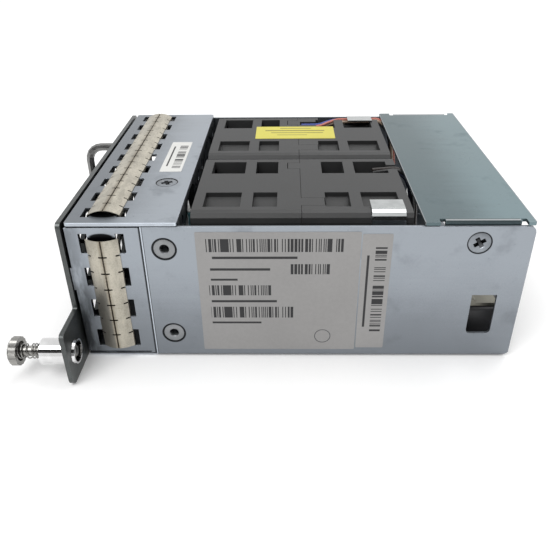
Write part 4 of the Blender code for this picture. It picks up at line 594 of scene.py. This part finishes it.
def smooth_route(knots, steps=8):
    """Points of a smooth curve through a route's own points."""
    padded = [knots[0], *knots, knots[-1]]
    points = []
    for a, b, c, d in zip(padded, padded[1:], padded[2:], padded[3:]):
        a, b, c, d = (Vector(v) for v in (a, b, c, d))
        bend, twist = 2 * a - 5 * b + 4 * c - d, 3 * b - a - 3 * c + d
        for step in range(steps):
            t = step / steps
            points.append(0.5 * (2 * b + (c - a) * t + bend * t**2 + twist * t**3))
    points.append(Vector(knots[-1]))
    return points


def cut_from(target, cutter_shape, matrix):
    """Cut a helper shape out of a bmesh-built object with an exact Boolean, and keep the result."""
    helper = linked("cutter", mesh_of("cutter", cutter_shape))
    helper.matrix_world = matrix
    cut = target.modifiers.new("cut", "BOOLEAN")
    cut.operation = "DIFFERENCE"
    cut.object = helper
    cut.solver = "EXACT"
    bpy.context.view_layer.update()
    evaluated = target.evaluated_get(bpy.context.evaluated_depsgraph_get())
    result = bpy.data.meshes.new_from_object(evaluated)
    target.modifiers.clear()
    old = target.data
    target.data = result
    bpy.data.meshes.remove(old)
    bpy.data.objects.remove(helper, do_unlink=True)


# Pieces


def dress(finish, *nodes):
    """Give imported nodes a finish."""
    for node in nodes:
        painted(NODES[node].data, finish)


def soften(angle, *nodes):
    """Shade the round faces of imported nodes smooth; the angle is in degrees."""
    for node in nodes:
        smoothed(NODES[node].data, radians(angle))


def build_metalwork(settings):
    """Finishes of the sheet-metal pieces."""
    colour = tuple(settings.sheet_colour)
    # Painted light: the side and front sheets grow lighter towards the top
    painted_light_upward = (2, 0.0, TOP_Z, 0.40)
    seam = from_front(SEAM)
    rings = [(ring_gap(*rivet), 0.07) for rivet in RIVETS]
    side = [
        # Painted light: the lap's highlight and its shadow, then a shadow line and a highlight at the wall's
        # top edge, and painted shade on its bottom edge
        (band(0, seam + 0.00008, seam + 0.00045), 1.9),
        (band(0, seam + 0.00052, seam + 0.00068), 0.30),
        (band(2, TOP_Z - 0.00062, TOP_Z - 0.00046), 0.35),
        (band(2, TOP_Z - 0.00036, TOP_Z), 2.4),
        (band(2, 0.00014, 0.00058), 0.14),
        (ring_gap(*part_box("cover_screw_near")), 0.10),
        *rings,
    ]
    dress(zinc_sheet("zinc_side_sheet", colour, shade=painted_light_upward, marks=side, inner=0.62), "tray_channel")
    low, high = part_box("gasket_near")
    front = [
        (front_dark_streaks, 0.22),
        (band(0, seam - 0.00030, seam + 0.0001), 0.16),
        # Painted highlight on the frame's bottom lip, and a painted shadow line above it
        (band(2, 0.00012, 0.00062), 2.6),
        (band(2, 0.00072, 0.00115), 0.15),
        (under_arch("gasket_near", 2, (low.z - 0.0003, high.z - 0.0004)), 0.03),
        *rings,
    ]
    dress(zinc_sheet("zinc_frame_sheet", tinted(colour, 1.02), shade=painted_light_upward, marks=front), "front_frame")
    # Painted light: the lid grows lighter from its front edge towards the rear
    painted_light_backward = (0, BODY_FRONT_X, from_front(30.0), 0.40)
    low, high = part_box("gasket_top")
    lid = [
        (under_arch("gasket_top", 1, (low.y + 0.0002, high.y - 0.0002)), 0.03),
        (ring_gap(*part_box("strip_screw"), 1), 0.08),
        # Painted highlights along the lid's near and far edges
        (band(1, NEAR_WALL_Y, NEAR_WALL_Y + 0.00035), 2.4),
        (band(1, FAR_WALL_Y - 0.00035, FAR_WALL_Y), 2.0),
    ]
    lid_sheet = zinc_sheet("zinc_top_sheet", tinted(colour, 0.98), shade=painted_light_backward, mottle=1.5, marks=lid)
    dress(lid_sheet, "front_top_strip")
    dress(zinc_sheet("zinc_bulkhead_sheet", tinted(colour, 0.8), inner=0.5), "fan_bulkhead")
    # Painted shade: the face plate's dark colour stands for the shade on its back
    dress(zinc_sheet("zinc_face_sheet", tuple(settings.face_shaded_colour), mottle=1.6), "face_plate")
    # Painted light: the rear cover grows lighter towards its rear end
    painted_light_backward = (0, COVER[0].x, COVER[1].x, 0.45)
    bend = (COVER[0].x + 0.0052, COVER[1].x - 0.0036)
    fold = FAR_WALL_Y - 0.0010
    shine = (0.40, 0.42, 0.43)
    cover = [
        # Painted light: the near bend's highlight between two shadow lines, the far bend's highlight, and
        # highlights on the two cut ends
        (band(1, -fold - 0.0002, -fold + 0.0003, bend), 0.30),
        (band(1, -fold + 0.0003, -fold + 0.0009, bend), shine),
        (band(1, -fold + 0.0009, -fold + 0.0012, bend), 0.30),
        (band(1, fold - 0.0010, fold, bend), shine),
        (band(0, COVER[0].x, COVER[0].x + 0.0002), tinted(shine, 0.75)),
        (band(0, COVER[1].x - 0.0002, COVER[1].x), tinted(shine, 0.75)),
    ]
    colour = tuple(settings.cover_colour)
    dress(zinc_sheet("dark_zinc_cover", colour, 0.32, painted_light_backward, 0.1, 1.2, cover, 0.8), "rear_cover")
    dress(polished_metal("zinc_bracket", (0.20, 0.195, 0.165), 0.3, 0.8), "connector_bracket")
    clip = polished_metal("bright_clip_spring", (0.54, 0.56, 0.56), 0.10, 0.10)
    dress(clip, "fan_clip_near", "fan_clip_far")
    dress(polished_metal("satin_handle_steel", (0.22, 0.22, 0.215), 0.24, 0.8), "handle")


def contact_mesh(width, length, rise, fingers, tab_sides):
    """A contact strip in local axes: X across, Y along, Z out of the sheet it clips on.

    Its arch has a creased crown, slits at the crown and at both edges part the fingers, and every
    other finger turns a tab down into the slots beside it.
    """
    half = width / 2
    across = [-u for u in reversed(CONTACT_PROFILE[1:])] + list(CONTACT_PROFILE)
    cuts = [(-1.0, -0.76), (-0.27, 0.27), (0.76, 1.0)]
    rows = []
    for finger in range(fingers):
        start, end = (length * k / fingers for k in (finger, finger + 1))
        rows.extend((start + CONTACT_SLIT / 2, (start + end) / 2, end - CONTACT_SLIT / 2))
    shape = bmesh.new()
    outer, inner = [], []
    for y in rows:
        for grid, depth in ((outer, 0.0), (inner, CONTACT_SHEET)):
            line = []
            for u in across:
                height = rise * (1 - u * u) - 0.00024 * max(0.0, 1 - abs(u) / 0.06)
                lean = Vector((2 * rise * u / half, 0.0, 1.0)).normalized() * depth
                line.append(shape.verts.new(Vector((u * half, y, height)) - lean))
            grid.append(line)

    def kept(row, column):
        if not (0 <= row < len(rows) - 1 and 0 <= column < len(across) - 1):
            return False
        middle = (across[column] + across[column + 1]) / 2
        return row % 3 != 2 or not any(low < middle < high for low, high in cuts)

    for row in range(len(rows) - 1):
        for column in range(len(across) - 1):
            if not kept(row, column):
                continue
            corners = ((row, column), (row, column + 1), (row + 1, column + 1), (row + 1, column))
            shape.faces.new([outer[r][c] for r, c in corners])
            shape.faces.new([inner[r][c] for r, c in reversed(corners)])
            beyond = ((row - 1, column), (row, column + 1), (row + 1, column), (row, column - 1))
            for k, cell in enumerate(beyond):
                if not kept(*cell):
                    (r0, c0), (r1, c1) = corners[k], corners[(k + 1) % 4]
                    shape.faces.new((outer[r0][c0], inner[r0][c0], inner[r1][c1], outer[r1][c1]))
    for finger in range(0, fingers, 2):
        for side in tab_sides:
            bend = [(half, 0.0), (half + 0.00010, -0.00035), (half * 0.97, -0.0013)]
            ring = bend + [(x - CONTACT_SHEET, z) for x, z in reversed(bend)]
            ends = rows[finger * 3:finger * 3 + 3:2]
            bridge(shape, [[shape.verts.new((side * x, y, z)) for x, z in ring] for y in ends], capped=True)
    return shape


def build_contacts(settings):
    """The arched contact strips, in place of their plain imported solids."""
    low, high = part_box("gasket_near")
    finish = contact_strip("satin_contact_strip", tuple(settings.strip_colour), (low.x + high.x) / 2)
    strips = (
        ("gasket_top", (0, 0, 1), 0.0, 0.0, (-1, 1)),
        ("gasket_near", (0, -1, 0), 0.00035, 0.0005, (1,)),
        ("gasket_far", (0, 1, 0), 0.00035, 0.0005, (1,)),
    )
    for node, out, swell, drop, tab_sides in strips:
        low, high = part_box(node)
        size = high - low
        out = Vector(out)
        across = Vector((1, 0, 0))
        along = out.cross(across)
        length = abs(size.dot(along))
        surface = (TOP_Z if out.z > 0.5 else FAR_WALL_Y) + CONTACT_SHEET
        crown = max(low.dot(out), high.dot(out))
        origin = (low + high) / 2 - along * length / 2
        origin += out * (surface + 0.00004 - origin.dot(out)) - Vector((0, 0, drop))
        fingers = round(length / settings.finger_pitch)
        shape = contact_mesh(size.x, length, crown - surface + swell, fingers, tab_sides)
        shape.transform(Matrix.Translation(origin) @ Matrix((across, along, out)).transposed().to_4x4())
        put(node + "_fingers", mesh_of(node + "_fingers", shape), finish, node, replaced=True)


def build_fans(settings):
    """Finishes of the housings, impellers and motors."""
    colour = tuple(settings.housing_colour)
    housing = moulded_plastic("fan_housing_plastic", colour, settings.housing_roughness)
    rotor = moulded_plastic("impeller_plastic", tinted(colour, 0.8), 0.42)
    ferrite = moulded_plastic("bonded_magnet", (0.05, 0.05, 0.052), 0.35)
    winding = polished_metal("motor_winding", (0.45, 0.2, 0.09), 0.35)
    steel = polished_metal("turned_steel", (0.66, 0.66, 0.65), 0.18)
    for fan in ("near", "far"):
        for end in ("front", "rear"):
            dress(housing, f"{fan}_fan_housing_{end}")
            dress(rotor, f"{fan}_impeller_{end}")
            dress(winding, f"{fan}_stator_{end}")
            dress(ferrite, f"{fan}_magnet_{end}")
            dress(steel, f"{fan}_shaft_{end}", f"{fan}_bearing_{end}_inner", f"{fan}_bearing_{end}_outer")
            soften(32, f"{fan}_impeller_{end}", f"{fan}_fan_housing_{end}")


def cross_recess(size, depth):
    """The cutter of a cross-shaped driver recess, as a bmesh round local -Z."""
    shape = bmesh.new()
    levels = ((0.0002, 1.0, 1.0), (0.0, 1.0, 1.0), (-depth * 0.5, 0.72, 0.8), (-depth, 0.30, 0.6))
    rings = []
    for level, reach, spread in levels:
        w = size * 0.17 * spread
        a = max(size / 2 * reach, w * 1.05)
        outline = [
            (a, -w), (a, w), (w, w), (w, a), (-w, a), (-w, w),
            (-a, w), (-a, -w), (-w, -w), (-w, -a), (w, -a), (w, -w),
        ]
        rings.append([shape.verts.new((x, y, level)) for x, y in outline])
    bridge(shape, rings, capped=True)
    return shape


def flat_screw(name, node, direction, turn, finish):
    """A countersunk screw with a cross recess turned by some degrees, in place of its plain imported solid."""
    low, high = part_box(node)
    aim = Vector(direction)
    length = (high - low).dot(aim)
    reach = max(abs(length), 0.001)
    head = (high - low - aim * length).length / 2**0.5 / 2
    shank = head * 0.5
    tip = 0.00002 - reach
    profile = [
        (0.0, tip), (shank - 0.0003, tip), (shank, 0.0004 - reach), (shank, -0.00065),
        (head, -0.00012), (head, -0.00004), (head - 0.00008, 0.0), (0.0, 0.0),
    ]
    obj = put(name, mesh_of(name, lathe(profile, 40)), finish, node, replaced=True)
    matrix = aimed((low + high) / 2 + aim * reach / 2, aim) @ Matrix.Rotation(radians(turn), 4, "Z")
    obj.data.transform(matrix)
    cut_from(obj, cross_recess(head * 1.15, 0.0011), matrix)
    smoothed(obj.data)


def flush_rivet(node, out, finish):
    """A flush rivet with a drawn bore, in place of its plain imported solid."""
    low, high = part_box(node)
    length = abs((high - low).dot(out))
    head = (high - low).x / 2
    foot = -length
    profile = [
        # The bore and its lip, the head's face and edge, then the shank and the set inner end
        (0.0, foot + 0.0010), (0.00080, foot + 0.0010), (0.00100, -0.0012),
        (0.00112, -0.00025), (0.00128, -0.00004), (0.00145, 0.0),
        (head - 0.00034, 0.0), (head - 0.00022, -0.00006), (head - 0.00022, -0.00016),
        (0.00148, -0.00066), (0.00148, foot + 0.0018), (0.0021, foot + 0.0017),
        (0.0021, foot + 0.0006), (0.0012, foot + 0.00004), (0.0, foot + 0.00004),
    ]
    mesh = mesh_of(node + "_turned", lathe(profile, 56))
    mesh.transform(aimed((low + high) / 2 + out * length / 2, out))
    put(node + "_turned", mesh, finish, node, replaced=True)


def screw_plate(name, colour):
    """Zinc plate of the screws' heads: hazy and scratched, with painted shade in the recess."""
    finish = Finish(name, metallic=0.95)
    scratch = finish.noise(1500, 4.0, 0.7)
    haze = finish.noise(260, 3.0, 0.6)
    axes = finish.axes()
    # Painted shade: what lies below the outer faces is near black
    painted_recess_shade = within(axes[1], NEAR_WALL_Y + 0.00016, FAR_WALL_Y - 0.00016) * axes[2].below(TOP_Z - 0.00016)
    shown = finish.mix(haze.ramp(0.3, 0.75), tinted(colour, 0.8), tinted(colour, 1.12))
    finish.colour(finish.mix(painted_recess_shade * 0.92, shown, (0.015, 0.015, 0.016)))
    finish.roughness(0.26 + 0.16 * scratch)
    finish.relief(scratch, 0.000005)
    return finish.material


def build_fasteners():
    """Screws with cross recesses, and flush rivets with drawn bores."""
    steel = screw_plate("screw_zinc_plate", (0.265, 0.285, 0.31))
    flat_screw("near_cover_screw", "cover_screw_near", (0, -1, 0), 32, steel)
    flat_screw("far_cover_screw", "cover_screw_far", (0, 1, 0), 12, steel)
    flat_screw("strip_cross_screw", "strip_screw", (0, 0, 1), 20, steel)
    plate = polished_metal("rivet_plate", (0.30, 0.31, 0.32), 0.34, 0.8)
    for side, out in (("near", -1), ("far", 1)):
        for level in ("lower", "upper"):
            flush_rivet(f"rivet_{side}_{level}", Vector((0, out, 0)), plate)


def coil_points(start, end, middle, radius, turns, per_turn=28):
    """Points of a compression spring along X, its end turns lying close together."""
    points = []
    count = int(turns * per_turn)
    for k in range(count + 1):
        share = k / count
        angle = 2 * pi * k / per_turn
        x = start + (end - start) * (share + 0.045 * sin(4 * pi * share))
        points.append((x, middle.y + radius * cos(angle), middle.z + radius * sin(angle)))
    return points


def build_captive_screw(settings):
    """Finishes of the knob and its sleeve, and the spring between them."""
    dress(polished_metal("captive_sleeve_nickel", (0.78, 0.78, 0.78), 0.07, 0.3), "captive_screw_ferrule")
    dress(polished_metal("knob_steel", (0.33, 0.325, 0.31), 0.22, 0.8), "captive_screw")
    soften(32, "captive_screw_ferrule", "captive_screw")
    wire = polished_metal("spring_wire", (0.36, 0.355, 0.34), 0.2, 0.5)
    low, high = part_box("captive_screw_spring")
    middle = (low + high) / 2
    thick = settings.spring_wire / 2
    radius = (high.z - low.z) / 2 - thick
    points = coil_points(low.x + thick, high.x - thick, middle, radius, settings.spring_turns)
    mesh = swept("captive_spring_coil", points, thick)
    spring = put("captive_spring_coil", mesh, wire, "captive_screw_spring", replaced=True)
    joint = next(j for j in frame["joints"] if j["name"] == "captive_screw_push")
    length = high.x - low.x
    (length - joint["range_m"][1]) / length
    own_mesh(spring)


def label(name, x_span, span, bars, colour, node="tray_channel", other=2, along=0, ink=INK,
          thickness=LABEL_THICKNESS):
    """A label on the near wall, or with other=1 on a top face; node names the piece that carries it.

    Its spans and bars are millimetres behind the front edge, then heights or, on a top face, Y. Each bar
    field is (distance low, distance high, low, high, pitch).
    """
    def point(distance, level):
        if other == 2:
            return (from_front(distance), NEAR_WALL_Y, level * MM)
        return (from_front(distance), level * MM, TOP_Z)

    (x0, x1), (low, high) = x_span, span
    corners = [point(x0, low), point(x1, low), point(x1, high), point(x0, high)]
    fields = [
        (from_front(near), from_front(far), bottom * MM, top * MM, pitch * MM)
        for near, far, bottom, top, pitch in bars
    ]
    paper = printed_plate(name + "_paper", colour, fields, other, along, ink)
    put(name, plate_mesh(name, corners, thickness), paper, node)


def ring_mark(name, distance, height, radius, ink):
    """A thin printed ring on the near wall's label."""
    shape = bmesh.new()
    rings = []
    x, z, proud = from_front(distance), height * MM, 0.02 * MM
    section = ((radius - 0.22 * MM, 0.0), (radius - 0.20 * MM, proud), (radius, proud), (radius, 0.0))
    for reach, lift in section:
        y = NEAR_WALL_Y - LABEL_THICKNESS - lift
        rings.append([shape.verts.new((x + reach * c, y, z + reach * s)) for c, s in circle(40)])
    bridge(shape, rings + rings[:1])
    put(name, mesh_of(name, shape), ink, "tray_channel")


def build_plates(settings):
    """The plain labels on the near wall, the top strip and the far fan."""
    grey = tuple(settings.plate_colour)
    label("near_wall_plate", (32.1, 73.2), (2.4, 38.6), [
        (34.4, 68.9, 33.0, 36.7, 0.24),
        (55.8, 65.7, 26.5, 29.5, 0.24),
        (34.7, 50.9, 20.1, 23.2, 0.24),
        (34.8, 56.6, 13.0, 16.5, 0.24),
        (36.0, 57.5, 31.0, 31.7, 0.0),
        (35.3, 50.6, 27.6, 28.3, 0.0),
        (35.3, 42.2, 24.6, 25.2, 0.0),
        (35.1, 52.2, 17.9, 18.6, 0.0),
        (34.9, 48.0, 11.1, 11.7, 0.0),
    ], grey)
    stamp = Finish("stamp_ink", 0.5)
    worn = stamp.noise(2400, 2.0, 0.6)
    stamp.colour(stamp.mix(worn, (0.03, 0.03, 0.035), (0.10, 0.10, 0.11)))
    ring_mark("near_wall_ring", 64.4, 6.9, 0.0022, stamp.material)
    label("near_wall_upright_plate", (73.5, 81.0), (3.0, 38.0), [
        (76.9, 79.8, 8.5, 34.9, 0.24),
        (74.9, 75.5, 10.0, 32.0, 0.0),
    ], tinted(grey, 1.04), along=2)
    label("strip_plate", (17.8, 24.2), (-11.3, 14.1), [
        (20.9, 23.4, -8.5, 11.5, 0.28),
        (19.0, 19.5, -7.0, 10.0, 0.0),
    ], tuple(settings.strip_plate_colour), "front_top_strip", 1, 1)
    yellow = tuple(settings.fan_plate_colour)
    label("far_fan_plate", (44.4, 70.7), (17.2, 29.5), [
        (52.5, 63.0, 27.3, 27.8, 0.0),
        (47.5, 67.5, 24.9, 25.6, 0.0),
        (49.5, 67.0, 22.8, 23.3, 0.0),
        (51.5, 61.5, 20.6, 21.0, 0.0),
    ], yellow, "far_fan_housing_front", 1, 1, tinted(yellow, 0.16), 0.1 * MM)


def strands(name, knots, colours, node, spread, radius):
    """Separate insulated leads that run side by side along one route, turning slowly about it."""
    route = smooth_route(knots)
    side = Vector((0, 0, 1))
    for index, (shade, colour) in enumerate(colours):
        points = []
        for k, (point, ahead) in enumerate(zip(route, headings(route))):
            across = ahead.cross(side)
            across = across.normalized() if across.length > 0.05 else Vector((0, 1, 0))
            up = across.cross(ahead)
            angle = 2 * pi * index / len(colours) + 0.035 * k
            points.append(point + (across * cos(angle) + up * sin(angle)) * spread)
        mesh = swept(f"{name}_{shade}", points, radius)
        jacket = wire_jacket(f"{name}_{shade}_jacket", colour)
        put(f"{name}_{shade}", mesh, jacket, node, replaced=True)


def build_leads(settings):
    """The fans' coloured leads, each bundle in place of its packed cord."""
    far = [
        ("salmon", (0.50, 0.16, 0.12)),
        ("blue", (0.02, 0.05, 0.30)),
        ("black", (0.015, 0.015, 0.016)),
        ("tan", (0.36, 0.27, 0.20)),
    ]
    near = [
        ("black", (0.015, 0.015, 0.016)),
        ("brown", (0.022, 0.016, 0.014)),
        ("grey", (0.026, 0.026, 0.028)),
        ("dark_blue", (0.012, 0.015, 0.03)),
    ]
    spread, radius = settings.lead_spread, settings.lead_diameter / 2
    strands("far_lead", FAR_ROUTE, far, "fan_harness_far", spread, radius)
    strands("near_lead", NEAR_ROUTE, near, "fan_harness_near", spread, radius)


def build_small_parts():
    """Finishes of the connector and the two locating pins."""
    dress(moulded_plastic("connector_plastic", (0.03, 0.03, 0.032), 0.4), "connector_housing")
    finish = Finish("pin_moulding", Specular_IOR_Level=0.5)
    height = finish.axes()[2]
    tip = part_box("locating_pin_front")[1].z
    mottle = finish.noise(900, 2.0, 0.5)
    body = finish.mix(mottle, (0.05, 0.16, 0.18), (0.09, 0.24, 0.26))
    # Painted highlight: the pin's top is near white
    finish.colour(finish.mix(height.above(tip - 0.0034), body, (0.86, 0.87, 0.86)))
    finish.roughness(0.35 + 0.1 * mottle)
    dress(finish.material, "locating_pin_front", "locating_pin_rear")
    soften(50, "locating_pin_front", "locating_pin_rear")


def build_floor(settings):
    """The pale floor, which glows a little towards its far side."""
    shape = bmesh.new()
    bmesh.ops.create_grid(shape, x_segments=1, y_segments=1, size=2.5)
    floor = linked("studio_floor", mesh_of("studio_floor", shape))
    floor.location = (0.0, 0.0, -0.0002)
    finish = Finish("studio_floor_white", 0.9, Specular_IOR_Level=0.0, Emission_Strength=1.0)
    speck = finish.noise(40, 2.0, 0.5)
    finish.colour(finish.mix(speck, (0.90, 0.90, 0.90), (0.92, 0.92, 0.92)))
    axes = finish.axes()
    away = ((axes[0] ** 2.0 + axes[1] ** 2.0) ** 0.5).ramp(0.30, 1.50)
    glow = finish.mix(away, (settings.floor_glow,) * 3, (settings.far_floor_glow,) * 3)
    finish.feed(finish.shader.inputs["Emission Color"], glow)
    painted(floor.data, finish.material)


def build_world(settings):
    """Light from all round, with white behind the object and in what it reflects."""
    scene = bpy.context.scene
    scene.world = scene.world or bpy.data.worlds.new("studio")
    scene.world.use_nodes = True
    tree = scene.world.node_tree
    background = tree.nodes["Background"]
    background.inputs["Color"].default_value = (1.0, 1.0, 1.0, 1.0)
    path = tree.nodes.new("ShaderNodeLightPath")
    seen = Value(tree, path.outputs["Is Camera Ray"])
    for ray in ("Is Glossy Ray", "Is Transmission Ray"):
        seen = seen.larger_of(Value(tree, path.outputs[ray]))
    strength = seen * (1.0 - settings.fill_strength) + settings.fill_strength
    tree.links.new(strength.socket, background.inputs["Strength"])


def build_lamps(settings):
    """Two softboxes, and dark cards that only the metal's gloss shows."""
    lamps = (
        ("key_softbox", (-0.35, -0.45, 0.85), 0.55, settings.key_power),
        ("top_softbox", (0.25, 0.35, 0.95), 0.70, settings.key_power * 0.8),
    )
    for name, place, size, power in lamps:
        lamp = bpy.data.lights.new(name, "AREA")
        lamp.shape = "SQUARE"
        lamp.size = size
        lamp.energy = power
        linked(name, lamp).matrix_world = aimed(place, Vector(place) - Vector((0, 0, 0.02)))
    paint = Finish("dark_card_paint", 0.9, Specular_IOR_Level=0.0)
    paint.colour(paint.mix(paint.noise(60, 2.0, 0.5), (0.02, 0.02, 0.02), (0.03, 0.03, 0.03)))
    cards = (
        ("left_dark_card", (-0.75, -0.30, 0.30), 0.22, 0.30),
        ("front_dark_card", (-0.10, -0.95, 0.60), 1.10, 0.52),
        ("right_dark_card", (0.80, -0.40, 0.50), 0.14, 0.30),
    )
    for name, place, wide, tall in cards:
        corners = [(-wide, -tall, 0.0), (wide, -tall, 0.0), (wide, tall, 0.0), (-wide, tall, 0.0)]
        card = linked(name, plate_mesh(name, corners, 0.002))
        painted(card.data, paint.material)
        card.matrix_world = aimed(place, -Vector(place))
        card.visible_camera = card.visible_diffuse = card.visible_shadow = False


def build_camera(settings):
    """The photograph's camera."""
    lens = bpy.data.cameras.new("photo_camera")
    lens.sensor_width = 36.0
    lens.lens = settings.camera_lens
    lens.clip_start = 0.01
    lens.clip_end = 20.0
    camera = linked("photo_camera", lens)
    yaw, pitch, roll = settings.camera_yaw, settings.camera_pitch, settings.camera_roll
    forward = Vector((sin(yaw) * cos(pitch), cos(yaw) * cos(pitch), -sin(pitch)))
    level = Vector((cos(yaw), -sin(yaw), 0.0))
    upright = level.cross(forward)
    right = cos(roll) * level + sin(roll) * upright
    up = cos(roll) * upright - sin(roll) * level
    turn = Matrix((right, up, -forward)).transposed().to_4x4()
    camera.matrix_world = Matrix.Translation(settings.camera_place) @ turn
    bpy.context.scene.camera = camera


# Settings, operators and the panel


def colour_setting(name, description, default):
    """A colour in a settings group."""
    return FloatVectorProperty(name=name, description=description, subtype="COLOR", default=default,
                               min=0.0, max=1.0)


def length_setting(name, description, default, low=0.0):
    """A length in a settings group, in metres."""
    return FloatProperty(name=name, description=description, unit="LENGTH", default=default, min=low)


def angle_setting(name, description, degrees):
    """An angle in a settings group."""
    return FloatProperty(name=name, description=description, subtype="ANGLE", default=radians(degrees))


def amount_setting(name, description, default):
    """A number from nothing up in a settings group."""
    return FloatProperty(name=name, description=description, default=default, min=0.0)


class TraySheetSettings(bpy.types.PropertyGroup):
    """Colours of the sheet metal and its labels."""

    sheet_colour: colour_setting("Sheet", "Zinc-plated sheet", (0.275, 0.300, 0.330))
    cover_colour: colour_setting("Rear cover", "The darker plain lid", (0.145, 0.200, 0.216))
    # Painted shade: a dark copy of the sheet colour, for the face plate's shaded back
    face_shaded_colour: colour_setting("Face plate", "The darker plate with the ear", (0.100, 0.107, 0.106))
    strip_colour: colour_setting("Contact strip", "Finger strips round the front", (0.47, 0.44, 0.37))
    finger_pitch: length_setting("Finger pitch", "From one finger to the next", 0.00485, 0.002)
    plate_colour: colour_setting("Wall plate", "Labels on the near wall", (0.285, 0.280, 0.276))
    strip_plate_colour: colour_setting("Strip plate", "Label on the front lid", (0.62, 0.62, 0.60))
    fan_plate_colour: colour_setting("Fan plate", "Label on the far fan", (0.58, 0.525, 0.085))


class TrayFanSettings(bpy.types.PropertyGroup):
    """Looks of the fans and of their leads."""

    housing_colour: colour_setting("Housing", "Moulded housings", (0.029, 0.0295, 0.030))
    housing_roughness: amount_setting("Housing roughness", "Gloss of the mouldings", 0.5)
    lead_diameter: length_setting("Lead diameter", "One insulated lead", 0.0010)
    lead_spread: length_setting("Lead spread", "From each lead to its bundle's middle", 0.0006)


class TrayScrewSettings(bpy.types.PropertyGroup):
    """Sizes of the captive screw's spring."""

    spring_wire: length_setting("Spring wire", "Diameter of the spring's wire", 0.00036)
    spring_turns: IntProperty(name="Spring turns", description="Turns of the spring", default=5, min=2)


class TrayStudioSettings(bpy.types.PropertyGroup):
    """The lamps and the camera."""

    fill_strength: amount_setting("Fill", "Light from all round", 0.62)
    floor_glow: amount_setting("Floor glow", "Keeps the floor pale", 0.10)
    far_floor_glow: amount_setting("Far floor glow", "Keeps the far floor white", 0.45)
    key_power: amount_setting("Key power", "Power of the main softbox, in watts", 5.0)
    camera_place: FloatVectorProperty(name="Camera", description="Where the camera stands",
                                      subtype="TRANSLATION", default=(-0.01201, -0.17695, 0.10732))
    camera_lens: amount_setting("Lens", "Focal length in millimetres", 39.55)
    camera_yaw: angle_setting("Yaw", "Turn about the upright", -1.184)
    camera_pitch: angle_setting("Pitch", "Look down", 31.653)
    camera_roll: angle_setting("Roll", "Tilt of the horizon", -0.668)


class TRAY_OT_metalwork(bpy.types.Operator):
    """Finish the sheet-metal body, its bracket, clips and handle"""

    bl_idname = "tray.metalwork"
    bl_label = "Metalwork"

    def execute(self, context):
        build_metalwork(context.scene.tray_sheet)
        return {"FINISHED"}


class TRAY_OT_contacts(bpy.types.Operator):
    """Build the arched contact strips"""

    bl_idname = "tray.contacts"
    bl_label = "Contact strips"

    def execute(self, context):
        build_contacts(context.scene.tray_sheet)
        return {"FINISHED"}


class TRAY_OT_fans(bpy.types.Operator):
    """Finish the fan housings, impellers and motors"""

    bl_idname = "tray.fans"
    bl_label = "Fans"

    def execute(self, context):
        build_fans(context.scene.tray_fans)
        return {"FINISHED"}


class TRAY_OT_fasteners(bpy.types.Operator):
    """Build the cross-recess screws and the drawn rivets"""

    bl_idname = "tray.fasteners"
    bl_label = "Fasteners"

    def execute(self, context):
        build_fasteners()
        return {"FINISHED"}


class TRAY_OT_captive_screw(bpy.types.Operator):
    """Finish the captive screw and its sleeve, and build its spring"""

    bl_idname = "tray.captive_screw"
    bl_label = "Captive screw"

    def execute(self, context):
        build_captive_screw(context.scene.tray_screw)
        return {"FINISHED"}


class TRAY_OT_plates(bpy.types.Operator):
    """Build the plain labels"""

    bl_idname = "tray.plates"
    bl_label = "Labels"

    def execute(self, context):
        build_plates(context.scene.tray_sheet)
        return {"FINISHED"}


class TRAY_OT_leads(bpy.types.Operator):
    """Build the fans' coloured leads"""

    bl_idname = "tray.leads"
    bl_label = "Leads"

    def execute(self, context):
        build_leads(context.scene.tray_fans)
        return {"FINISHED"}


class TRAY_OT_small_parts(bpy.types.Operator):
    """Finish the connector and the locating pins"""

    bl_idname = "tray.small_parts"
    bl_label = "Small parts"

    def execute(self, context):
        build_small_parts()
        return {"FINISHED"}


class TRAY_OT_studio(bpy.types.Operator):
    """Build the floor, the lamps and the camera"""

    bl_idname = "tray.studio"
    bl_label = "Studio"

    def execute(self, context):
        settings = context.scene.tray_studio
        build_floor(settings)
        build_world(settings)
        build_lamps(settings)
        build_camera(settings)
        context.scene.view_settings.view_transform = "Standard"
        return {"FINISHED"}


OPERATORS = (TRAY_OT_metalwork, TRAY_OT_contacts, TRAY_OT_fans, TRAY_OT_fasteners, TRAY_OT_captive_screw,
             TRAY_OT_plates, TRAY_OT_leads, TRAY_OT_small_parts, TRAY_OT_studio)


class TRAY_PT_panel(bpy.types.Panel):
    """Lists the tray's pieces in the sidebar"""

    bl_label = "Fan tray"
    bl_idname = "TRAY_PT_panel"
    bl_space_type = "VIEW_3D"
    bl_region_type = "UI"
    bl_category = "Fan Tray"

    def draw(self, context):
        for operator in OPERATORS:
            self.layout.operator(operator.bl_idname)


SETTINGS = (
    ("tray_sheet", TraySheetSettings),
    ("tray_fans", TrayFanSettings),
    ("tray_screw", TrayScrewSettings),
    ("tray_studio", TrayStudioSettings),
)


def register():
    for name, group in SETTINGS:
        bpy.utils.register_class(group)
        setattr(bpy.types.Scene, name, PointerProperty(type=group))
    for operator in OPERATORS:
        bpy.utils.register_class(operator)
    bpy.utils.register_class(TRAY_PT_panel)


def unregister():
    bpy.utils.unregister_class(TRAY_PT_panel)
    for operator in reversed(OPERATORS):
        bpy.utils.unregister_class(operator)
    for name, group in reversed(SETTINGS):
        delattr(bpy.types.Scene, name)
        bpy.utils.unregister_class(group)


def main():
    """Build every piece in order."""
    register()
    for operator in OPERATORS:
        group, action = operator.bl_idname.split(".")
        getattr(getattr(bpy.ops, group), action)()


if __name__ == "__main__":
    main()
